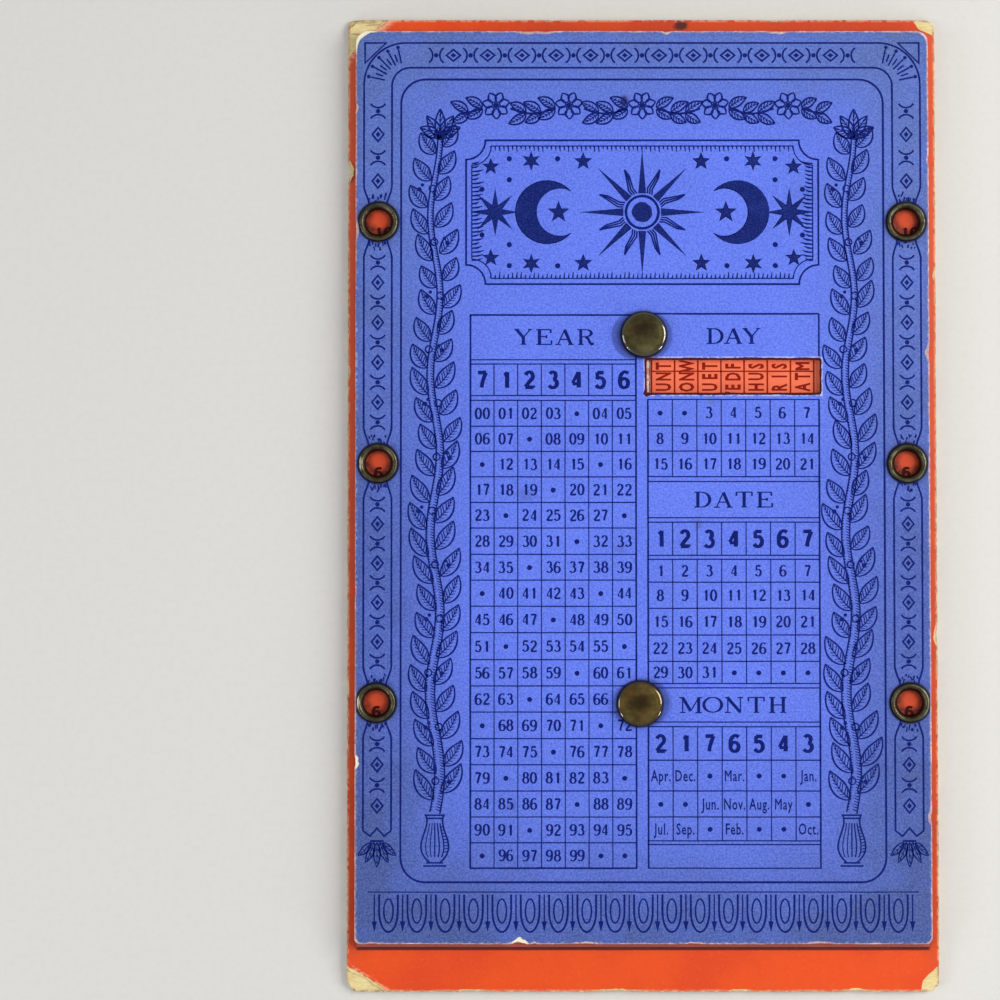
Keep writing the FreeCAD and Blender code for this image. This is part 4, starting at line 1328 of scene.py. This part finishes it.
def leaf(ink, start, angle, length, width, curl=25.0, veins=6, line=0.2, shade=1):
    # a leaf: its rim is a midrib moved aside by half a width times a sine that fades to the tip
    rib = swayed(start, angle, length, curl)
    along = np.linspace(0, 1, len(rib))
    belly = width / 2 * np.sin(np.pi * along ** 0.85) ** 0.9
    sides = [offLine(rib, belly), offLine(rib, -belly)]
    for side in sides:
        ink.stroke(side, line * (0.85 + 0.5 * np.sin(np.pi * along)))
    if veins:
        ink.stroke(rib[:-2], line * np.linspace(1.05, 0.45, len(rib) - 2))
    for k in range(1, veins + 1):
        share = k / (veins + 1.2)
        at = share * (len(rib) - 1)
        low = int(at)
        root = rib[low] + (rib[min(low + 1, len(rib) - 1)] - rib[low]) * (at - low)
        for side, sign in zip(sides, (1, -1)):
            edge = side[min(low + 3, len(side) - 1)]
            reach = 0.82 if sign == shade else 0.5
            ink.stroke([root, root + (edge - root) * reach], line * (0.75 if sign == shade else 0.5))


def rosette(ink, middle, radius, petals=6, line=0.2):
    for k in range(petals):
        angle = 360 * k / petals + 15
        leaf(ink, np.array(middle) + arc((0, 0), radius * 0.25, radius * 0.25, angle, angle, 1)[0], angle,
             radius * 0.8, radius * 0.6, 0.0, 0, line)
    ink.dot(middle, radius * 0.22)


def star(ink, middle, outer, inner, points, rimOnly=False):
    angle = np.radians(90 + 180 / points * np.arange(2 * points))
    far = np.where(np.arange(2 * points) % 2, inner, outer)
    rim = np.array(middle) + np.column_stack([np.cos(angle), np.sin(angle)]) * far[:, None]
    if rimOnly:
        ink.stroke(closedLine(rim), 0.17)
    else:
        ink.fill(rim, np.array(middle))


def lozenge(ink, middle, wide, high, line=0.0):
    x, y = middle
    rim = np.array([(x + wide / 2, y), (x, y + high / 2), (x - wide / 2, y), (x, y - high / 2)])
    if line:
        ink.stroke(closedLine(rim), line)
    else:
        ink.fill(rim)


def crescent(ink, middle, radius, turn, rimOnly=False):
    # band between an outer arc and a shallower inner one
    outer = arc((0, 0), radius, radius, 42, 318, 26)
    inner = arc((radius * 0.42, 0), radius * 0.76, radius * 0.76, 68, 292, 26)
    inner[0], inner[-1] = outer[0], outer[-1]
    cos, sin = np.cos(np.radians(turn)), np.sin(np.radians(turn))
    spin = np.array([[cos, sin], [-sin, cos]])
    outer, inner = outer @ spin + middle, inner @ spin + middle
    if rimOnly:
        ink.stroke(outer, 0.2)
        ink.stroke(inner, 0.2)
    else:
        ink.between(outer, inner)


borderPlan = {
    "band": (63.2, 56.85),
    "top": (104.67, 99.0),
    "cornerRadius": (9.5, 4.2),
    "end": -74.0,
    "frame": {"x": 54.75, "y": (-85.56, 96.3), "radius": 5.5},
    "line": 0.42,
    "motifPitch": 3.9,
    "triangle": ((-63.0, 104.67), (4.8, 4.6)),
}


def bandEdge(x, ys):
    # the band's edge at given heights: drawn in to each eyelet by a smooth step
    spots = np.array(eyeletSpots[:3])
    gaps = np.abs(ys[:, None] - spots[:, 1])
    share = np.clip((gaps.min(axis=1) - 3.6) / 4.6, 0, 1)
    ease = share * share * (3 - 2 * share)
    middle = np.abs(spots[gaps.argmin(axis=1), 0])
    return middle + (x - middle) * (0.62 + 0.38 * ease)


def border(ink):
    plan = borderPlan
    outerX, innerX = plan["band"]
    outerTop, innerTop = plan["top"]
    outerRound, innerRound = plan["cornerRadius"]
    rowYs = sorted({round(float(spot[1]), 3) for spot in eyeletSpots}, reverse=True)
    for side in (-1, 1):
        stops = [outerTop - outerRound - 0.5] + [y + d for y in rowYs for d in (3.7, -3.7)] + [plan["end"]]
        for high, low in zip(stops[::2], stops[1::2]):
            for x in (outerX, innerX):
                ys = np.linspace(high, low, 34)
                ink.stroke(np.column_stack([side * bandEdge(x, ys), ys]), plan["line"])
        for x, top, radius in ((outerX, outerTop, outerRound), (innerX, innerTop, innerRound)):
            corner = arc((side * (x - radius), top - radius), radius, radius, 90, 90 - side * 90, 14)
            down = [(side * x, outerTop - outerRound - 0.5)]
            ink.stroke(np.vstack([[(0, top)], [(side * (x - radius) / 2, top)], corner, down]), plan["line"])
        for high, low in zip(stops[::2], stops[1::2]):
            room = high - low
            count = int((room - 8.5) / plan["motifPitch"])
            for k, y in enumerate(np.linspace(high - 5.6, low + 5.6, max(count, 2))):
                motif(ink, (side * (outerX + innerX) / 2, y), k, True)
        for y in rowYs:
            for way in (1, -1):
                ticks(ink, (side * (outerX + innerX) / 2, y + way * 5.4))
        bandFoot(ink, side)
        cornerFan(ink, side)
        (x, y), (wide, high) = plan["triangle"]
        rim = np.array([(side * -x, y), (side * (-x - wide), y), (side * -x, y - high)])
        ink.stroke(closedLine(rim), plan["line"])
    for k, x in enumerate(np.arange(-12, 13) * plan["motifPitch"]):
        motif(ink, (x, (outerTop + innerTop) / 2), k, False)
    frame = plan["frame"]
    rim = roundCorners((-frame["x"], frame["y"][0]), (frame["x"], frame["y"][1]), (frame["radius"],) * 4, 9)
    ink.stroke(closedLine(rim), plan["line"] * 1.1)


def motif(ink, middle, count, upright):
    # the border's chain: a lozenge with a seed, then two facing leaves
    x, y = middle
    line = 0.4
    if count % 2:
        size = (2.6, 3.2) if upright else (3.2, 2.6)
        lozenge(ink, middle, *size, line)
        lozenge(ink, middle, size[0] * 0.42, size[1] * 0.42)
        return
    for way in (1, -1):
        if upright:
            ink.stroke(arc((x, y + way * 2.5), 1.9, 1.7, -way * 90 - 62, -way * 90 + 62, 9), line)
        else:
            facing = 180 if way > 0 else 0
            ink.stroke(arc((x + way * 2.5, y), 1.7, 1.9, facing - 62, facing + 62, 9), line)
    ink.dot(middle, 0.52)


def ticks(ink, middle):
    # short scattered dashes where the band closes on an eyelet
    for k in range(9):
        x = middle[0] - 1.9 + 0.47 * k + dice.uniform(-0.2, 0.2)
        y = middle[1] + dice.uniform(-0.9, 0.9)
        lean = dice.uniform(-0.5, 0.5)
        size = dice.uniform(0.2, 0.6)
        ink.stroke([(x - lean * size, y - size), (x + lean * size, y + size)], dice.uniform(0.28, 0.44))


def bandFoot(ink, side):
    # the band ends in a swallowtail with a drop below it
    plan = borderPlan
    outerX, innerX = plan["band"]
    middle = side * (outerX + innerX) / 2
    half = (outerX - innerX) / 2
    end = plan["end"]
    ink.stroke([(middle - half, end), (middle - half * 0.5, end - 1.2), (middle, end + 0.6),
                (middle + half * 0.5, end - 1.2), (middle + half, end)], plan["line"])
    for k in range(5):
        x = middle + half * (k - 2) / 2.6
        leaf(ink, (x * 0.55 + middle * 0.45, end - 2.6), 270 + (k - 2) * 17, 5.6 - abs(k - 2) * 0.7, 1.5,
             (k - 2) * 12, 3, 0.26)
    ink.stroke([(middle - 1.5, end - 2.3), (middle + 1.5, end - 2.3)], 0.45)


def cornerFan(ink, side):
    # a shell of short lines where the band turns the corner
    plan = borderPlan
    radius = plan["cornerRadius"][0]
    middle = np.array([side * (plan["band"][0] - radius), plan["top"][0] - radius])
    for k, angle in enumerate(np.linspace(12, 78, 9)):
        turned = 90 - side * angle if side > 0 else 90 + angle
        inner, outer = (radius - 4.6, radius - 1.3) if k % 2 == 0 else (radius - 4.0, radius - 2.2)
        ends = [middle + arc((0, 0), r, r, turned, turned, 1)[0] for r in (inner, outer)]
        ink.stroke(ends, 0.36)
        if k % 2 == 0:
            ink.dot(ends[1] + (ends[1] - ends[0]) * 0.14, 0.42)


vinePlan = {
    "x": 47.0,
    "y": (-70.0, 83.0),
    "sway": 1.1,
    "swayLength": 36.0,
    "leafPitch": 6.1,
    "leaf": (7.2, 3.3),
    "leafSwell": (1.08, 0.86),      # leaves grow smaller from foot to top
    "leafCurl": 34,
    "veins": 8,
    "leafLine": 0.31,
    "stem": 0.34,
    "thick": (1.15, 0.55),          # half width of the stem at foot and top
    "barkPitch": 0.62,
    "tendril": (5.4, 400),          # length, and degrees of its curl
    "berries": ((2.6, 4.0, 0.52), (1.9, 5.0, 0.4)),
    "crown": (27, 6.6, 0.7, 2.3),   # turn between top leaves, longest, less from each to each, width
}


def vine(ink, side):
    # stem that sways as a sine of height, paired leaves on it, tendrils and berries between them
    plan = vinePlan
    low, high = plan["y"]
    ys = np.linspace(low, high, 120)
    xs = side * -plan["x"] + plan["sway"] * np.sin(2 * np.pi * (ys - low) / plan["swayLength"])
    thick = np.interp(ys, (low, high), plan["thick"])
    line = np.column_stack([xs, ys])
    for off in (1, -1):
        ink.stroke(offLine(line, off * thick), plan["stem"])
    for y in np.arange(low + 0.6, high, plan["barkPitch"]):
        x = np.interp(y, ys, xs)
        half = np.interp(y, ys, thick)
        ink.stroke([(x + half, y - 0.15), (x + half * 0.05, y + 0.22)], np.array([0.3, 0.14]))
        ink.stroke([(x - half, y + 0.1), (x - half * 0.55, y + 0.22)], np.array([0.26, 0.14]))
    for k, y in enumerate(np.arange(low + 3.0, high - 3.0, plan["leafPitch"])):
        x = np.interp(y, ys, xs)
        size = plan["leaf"][0] * np.interp(y, (low, high), plan["leafSwell"]) * dice.uniform(0.92, 1.08)
        for way in (-1, 1):
            root = (x + way * 0.8, y + (0.0 if way < 0 else 1.6))
            leaf(ink, root, 90 - way * dice.uniform(44, 54), size, plan["leaf"][1], way * plan["leafCurl"],
                 plan["veins"], plan["leafLine"], way)
        if k % 2 == 0:
            way = -1 if k % 4 == 0 else 1
            length, turn = plan["tendril"]
            curl = swayed((x + way * 0.4, y + 3.4), 90 - way * 80, length, way * turn, 22)
            ink.stroke(curl, np.linspace(0.4, 0.24, len(curl)))
            for aside, up, radius in plan["berries"]:
                ink.dot((x - way * aside, y + up), radius)
    top = (np.interp(high, ys, xs), high)
    turn, longest, less, wide = plan["crown"]
    for k in range(-2, 3):
        leaf(ink, top, 90 - k * turn, longest - abs(k) * less, wide, -k * 10, 6, 0.32, 1 if k < 0 else -1)
    ink.dot((top[0], top[1] + 0.2), 0.8)
    urn(ink, side, low)


urnPlan = {
    "drop": 11.2,                   # its foot below the vine's end
    "high": 10.6,
    "rim": 0.38,
    "rings": ((0.5, 2.3), (1.2, 2.0), (11.2, 1.9), (11.9, 2.6)),
    "ringLine": 0.36,
    "flutes": (-0.66, -0.33, 0.0, 0.33, 0.66),
    "shading": (8.8, 3.2, 9),
}


def urn(ink, side, top):
    # a fluted vase at the foot of the vine; its half width is a skewed sine of height that widens
    # again at the mouth
    plan = urnPlan
    x = side * -vinePlan["x"]
    heights = np.linspace(0, 1, 26)
    half = 1.1 + 2.3 * np.sin(np.pi * heights ** 0.7) ** 1.4 * (1 - 0.35 * heights) + 0.9 * heights ** 6
    ys = top - plan["drop"] + heights * plan["high"]
    for way in (1, -1):
        ink.stroke(np.column_stack([x + way * half, ys]), plan["rim"])
    for drop, wide in plan["rings"]:
        ink.stroke([(x - wide, top - drop), (x + wide, top - drop)], plan["ringLine"])
    for share in plan["flutes"]:
        ink.stroke(np.column_stack([x + share * half[3:-4], ys[3:-4]]), 0.22 if share < 0 else 0.3)
    first, last, count = plan["shading"]
    for y in np.linspace(top - first, top - last, count):
        wide = np.interp(y, ys, half)
        ink.stroke([(x + wide * 0.72, y), (x + wide * 0.97, y + 0.15)], 0.24)


garlandPlan = {"y": 89.4, "x": 41.5, "sway": 0.9, "swayLength": 16.6, "leafPitch": 3.3, "leaf": (4.4, 2.0),
               "rosette": 3.0}


def garland(ink):
    # a swaying stem across the top with leaves above and below it and rosettes at its crests
    plan = garlandPlan
    xs = np.linspace(-plan["x"], plan["x"], 130)
    ys = plan["y"] + plan["sway"] * np.cos(2 * np.pi * xs / plan["swayLength"])
    crests = np.arange(-2, 3) * plan["swayLength"]
    bare = np.abs(xs[:, None] - crests).min(axis=1) < plan["rosette"]
    stops = np.flatnonzero(np.diff(bare.astype(int)))
    for run in np.split(np.arange(len(xs)), stops + 1):
        if not bare[run[0]] and len(run) > 1:
            ink.stroke(np.column_stack([xs, ys])[run], 0.5)
    for x in np.arange(1, plan["x"] / plan["leafPitch"]) * plan["leafPitch"]:
        for side in (-1, 1):
            tip = side * (x + plan["leaf"][0] * 0.5)
            if np.abs(tip - crests).min() < plan["rosette"] + 1.1:
                continue
            y = np.interp(side * x, xs, ys)
            for way in (-1, 1):
                angle = 90 - side * 90 + side * way * 42
                leaf(ink, (side * x, y + 0.15 * way), angle, plan["leaf"][0] * dice.uniform(0.9, 1.08),
                     plan["leaf"][1], -side * way * 26, 5, 0.32, way)
    for crest in crests:
        rosette(ink, (crest, plan["y"] + plan["sway"] + 0.1), plan["rosette"], 7, 0.34)


panelPlan = {
    "low": (-40.0, 49.6),
    "high": (40.0, 82.4),
    "notch": 4.4,
    "sun": ((0.0, 66.0), 3.7, 14.2),
    "rays": 16,
    "moon": (21.6, 7.2),
    "star": (33.4, 5.4),
    "small": ((13.4, 77.6, 2.0), (13.4, 54.4, 2.0), (25.2, 77.7, 2.1), (25.2, 54.3, 2.1), (34.4, 76.4, 1.9),
              (34.4, 55.6, 1.9)),
    "dots": ((19.2, 78.2), (19.2, 53.8), (30.2, 78.2), (30.2, 53.8), (30.2, 73.4), (30.2, 58.6), (36.4, 71.2),
             (36.4, 60.8)),
}


def titlePanel(ink, heavy):
    # a framed panel with drawn-in corners: a sun between two moons, stars about them; the full
    # shapes are laid in a second, heavier ink
    plan = panelPlan
    for inset, line in ((0.0, 0.42), (1.3, 0.26)):
        low, high = np.array(plan["low"]) + inset, np.array(plan["high"]) - inset
        notch = plan["notch"]
        starts = ((low[0], low[1], 90), (high[0], low[1], 180), (high[0], high[1], 270), (low[0], high[1], 0))
        rim = np.vstack([arc((x, y), notch, notch, start, start - 90, 9) for x, y, start in starts])
        ink.stroke(closedLine(rim), line)
    for side in (-1, 1):
        edge = side * (plan["high"][0] - 1.3)
        for y in np.arange(plan["low"][1] + 5.4, plan["high"][1] - 5.0, 0.92):
            size = dice.uniform(1.6, 2.9)
            ink.stroke([(edge, y), (edge - side * size * 0.55, y + 0.1), (edge - side * size, y + 0.45)],
                       np.array([0.3, 0.46, 0.16]))
    for x in np.arange(plan["low"][0] + 5.6, plan["high"][0] - 5.2, 0.98):
        for way, edge in ((1, plan["low"][1] + 1.3), (-1, plan["high"][1] - 1.3)):
            size = dice.uniform(0.7, 1.5)
            ink.stroke([(x, edge), (x + 0.12, edge + way * size)], np.array([0.4, 0.16]))
    middle, disc, reach = plan["sun"]
    middle = np.array(middle)
    heavy.dot(middle, disc * 0.62, 30)
    ink.stroke(arc(middle, disc, disc, 0, 360, 33), 0.6)
    for k in range(plan["rays"]):
        angle = 360 * k / plan["rays"] + 90
        long = k % 2 == 0
        far = reach if long else reach * 0.74
        tip = arc(middle, far, far, angle, angle, 1)[0]
        spread = 10.2 if long else 6.4
        roots = [arc(middle, disc + 0.75, disc + 0.75, angle + way * spread, angle + way * spread, 1)[0]
                 for way in (1, -1)]
        if long:
            heavy.fill([roots[0], tip, roots[1]])
            ink.stroke([roots[0], tip, roots[1], roots[0]], 0.2)
        else:
            mid = arc(middle, disc + 3.2, disc + 3.2, angle + 7, angle + 7, 1)[0]
            other = arc(middle, disc + 5.0, disc + 5.0, angle - 5, angle - 5, 1)[0]
            for off in (-0.55, 0.0, 0.55):
                shift = np.array([-np.sin(np.radians(angle)), np.cos(np.radians(angle))]) * off
                ink.stroke([(roots[0] + roots[1]) / 2 + shift, mid * 0.5 + (roots[0] + roots[1]) / 4 + shift,
                            other * 0.4 + tip * 0.3 + mid * 0.3 + shift * 0.7, tip], 0.36)
    for side in (-1, 1):
        for sheet in (heavy, ink):
            x, size = plan["moon"]
            crescent(sheet, np.array((side * x, middle[1])), size, 0 if side < 0 else 180, sheet is ink)
            star(sheet, (side * (x - 2.6), middle[1]), size * 0.34, size * 0.135, 5, sheet is ink)
            x, size = plan["star"]
            star(sheet, (side * x, middle[1]), size, size * 0.3, 8, sheet is ink)
            for x, y, size in plan["small"]:
                star(sheet, (side * x, y), size, size * 0.42, 6 if size > 2.0 else 5, sheet is ink)
        for x, y in plan["dots"]:
            ink.dot((side * x, y), 0.6)


footPlan = {"x": 60.6, "y": (-96.7, -88.3), "count": 19, "line": 0.44}


def eggsAndDarts(ink):
    # a traditional moulding along the foot: eggs in open shells with darts between them
    plan = footPlan
    low, high = plan["y"]
    pitch = 2 * plan["x"] / plan["count"]
    middleY = (low + high) / 2
    for k in range(plan["count"]):
        x = -plan["x"] + pitch * (k + 0.5)
        ink.stroke(arc((x, middleY + 0.5), 1.05, 2.7, 0, 360, 23), plan["line"] * 0.8)
        bowl = arc((x, middleY + 0.4), 2.1, 4.6, 180, 360, 19)
        ink.stroke(np.vstack([[(x - 2.1, high)], bowl, [(x + 2.1, high)]]), plan["line"])
    for k in range(plan["count"] + 1):
        x = -plan["x"] + pitch * k
        ink.stroke([(x, high), (x, low + 1.8)], plan["line"] * 0.7)
        ink.fill([(x - 0.6, low + 2.4), (x + 0.6, low + 2.4), (x, low)])
    ink.stroke(rulerLine((-plan["x"] - 1.4, high + 0.55), (plan["x"] + 1.4, high + 0.55)), 0.25)


def printFront():
    ink = Print(frontHigh[2])
    yearTable(ink)
    dayTable(ink)
    ink.piece("front_table_print", "front_face", "cards", finishes["navyInk"])
    ink = Print(frontHigh[2])
    heavy = Print(frontHigh[2])
    border(ink)
    eggsAndDarts(ink)
    titlePanel(ink, heavy)
    heavy.piece("front_title_print", "front_face", "cards", finishes["wornInk"])
    ink.piece("front_border_print", "front_face", "cards", finishes["navyInk"])
    ink = Print(frontHigh[2])
    vine(ink, 1)
    vine(ink, -1)
    garland(ink)
    ink.piece("front_leaf_print", "front_face", "cards", finishes["navyInk"])


slidePrint = {
    "x": (2.12, 38.98),
    "rowHigh": 7.2,
    "rowsAbove": 1,
    "rows": 7,
    "drop": 2.4,
    "margin": 0.5,
    "letters": 3.35,
    "narrow": 0.56,
    "letterPitch": 2.42,
    "bolder": 0.034,
    "shift": 2,
    "firstCentury": 15,
    "centuryAside": 0.95,
    "firstKey": 5,
    "keyRise": 0.35,
}


def printSlide():
    plan = slidePrint
    ink = Print(nodeBox("slide_face_sheet")[1][2])
    xs = cells(plan["x"], 7)
    shown = windowLow[1] + plan["margin"] - plan["drop"]
    top = shown + (1 + plan["rowsAbove"]) * plan["rowHigh"]
    ys = top - plan["rowHigh"] * np.arange(plan["rows"] + 1)
    for y in ys:
        ink.stroke(rulerLine((xs[0], y), (xs[-1], y)), 0.3)
    for x in xs:
        ink.stroke(rulerLine((x, ys[0]), (x, ys[-1])), 0.36)
    days = ("SUN", "MON", "TUE", "WED", "THU", "FRI", "SAT")
    for row in range(plan["rows"]):
        for column in range(7):
            day = days[(column + plan["shift"] * (plan["rowsAbove"] - row)) % 7]
            x, y = (xs[column] + xs[column + 1]) / 2, (ys[row] + ys[row + 1]) / 2
            for place, letter in enumerate(day):
                typed(ink, letter, (x, y + (place - 1) * plan["letterPitch"]), plan["letters"],
                      plan["narrow"], 90, plan["bolder"])
    ink.piece("slide_day_print", "slide_face", "slide", finishes["brownInk"])
    ink = Print(nodeBox("slide_face_sheet")[1][2])
    for name, spot in zip(eyeletNames, eyeletSpots):
        for row in range(plan["rows"]):
            x, y = spot + (0, (plan["rowsAbove"] - row) * plan["rowHigh"] - plan["drop"])
            if "upper" in name:
                century = str(plan["firstCentury"] + row)
                written(ink, century, (x + plan["centuryAside"], y), styles["century"])
            else:
                key = str((plan["firstKey"] + row - 1) % 7 + 1)
                written(ink, key, (x, y + plan["keyRise"]), styles["key"])
    ink.piece("slide_century_print", "slide_face", "slide", finishes["shadedInk"])


printFront()
printSlide()
print("printing made")


# Camera, floor and light

view = {
    "aim": (-32.3, 0.6, 4.0),
    "distance": 600.0,
    "lean": 1.9,
    "across": 226.4,
    "sensor": 36.0,
}


def makeCamera():
    plan = view
    lean = np.radians(plan["lean"])
    data = bpy.data.cameras.new("camera")
    data.sensor_width = plan["sensor"]
    data.lens = plan["sensor"] * plan["distance"] / plan["across"]
    camera = bpy.data.objects.new("camera", data)
    aim = np.array(plan["aim"])
    spot = aim + plan["distance"] * np.array([0, -np.sin(lean), np.cos(lean)])
    camera.location = (spot * mm).tolist()
    camera.rotation_euler = (float(lean), 0, 0)
    bpy.context.scene.collection.objects.link(camera)
    bpy.context.scene.camera = camera


room = {
    "floorHalf": 4000,
    "floorDrop": 0.02,
    "sky": (0.93, 0.96, 1.0, 1),
    "skyStrength": 0.42,
    # place, width and height, power, colour
    "windows": {
        "window_right": ((620, 120, 520), (420, 520), 4.9, (1.0, 0.97, 0.93)),
        "window_left": ((-640, -60, 430), (260, 420), 1.2, (0.93, 0.96, 1.0)),
        "window_low_right": ((560, -330, 170), (120, 160), 0.9, (1, 1, 1)),
        "window_low_left": ((-500, -380, 210), (110, 120), 0.55, (1, 1, 1)),
    },
}


def areaLight(name, place, size, power, colour):
    # lamp aimed at the origin
    data = bpy.data.lights.new(name, "AREA")
    data.shape = "RECTANGLE"
    data.size, data.size_y = size[0] * mm, size[1] * mm
    data.energy = power
    data.color = colour
    lamp = bpy.data.objects.new(name, data)
    lamp.location = Vector(place) * mm
    lamp.rotation_euler = (-Vector(place)).to_track_quat("-Z", "Y").to_euler()
    bpy.context.scene.collection.objects.link(lamp)


def studio():
    half, drop = room["floorHalf"] * mm, room["floorDrop"] * mm
    mesh = bpy.data.meshes.new("studio_floor")
    mesh.from_pydata([(-half, -half, -drop), (half, -half, -drop), (half, half, -drop), (-half, half, -drop)],
                     [], [(0, 1, 2, 3)])
    floor = bpy.data.objects.new("studio_floor", mesh)
    bpy.context.scene.collection.objects.link(floor)
    finish = Finish("floor_matt", 0.9, specular=0.2)
    finish.ground(palette["floor"], linear(214, 212, 206), finish.clouds(1.5, 3.0, 0.4, 0.7, 0.0, 0.2))
    mesh.materials.append(finish.done())
    world = bpy.data.worlds.new("soft_room")
    world.use_nodes = True
    sky = world.node_tree.nodes["Background"]
    sky.inputs["Color"].default_value = room["sky"]
    sky.inputs["Strength"].default_value = room["skyStrength"]
    bpy.context.scene.world = world
    for name, settings in room["windows"].items():
        areaLight(name, *settings)


makeCamera()
studio()
bpy.context.scene.view_settings.view_transform = "Standard"
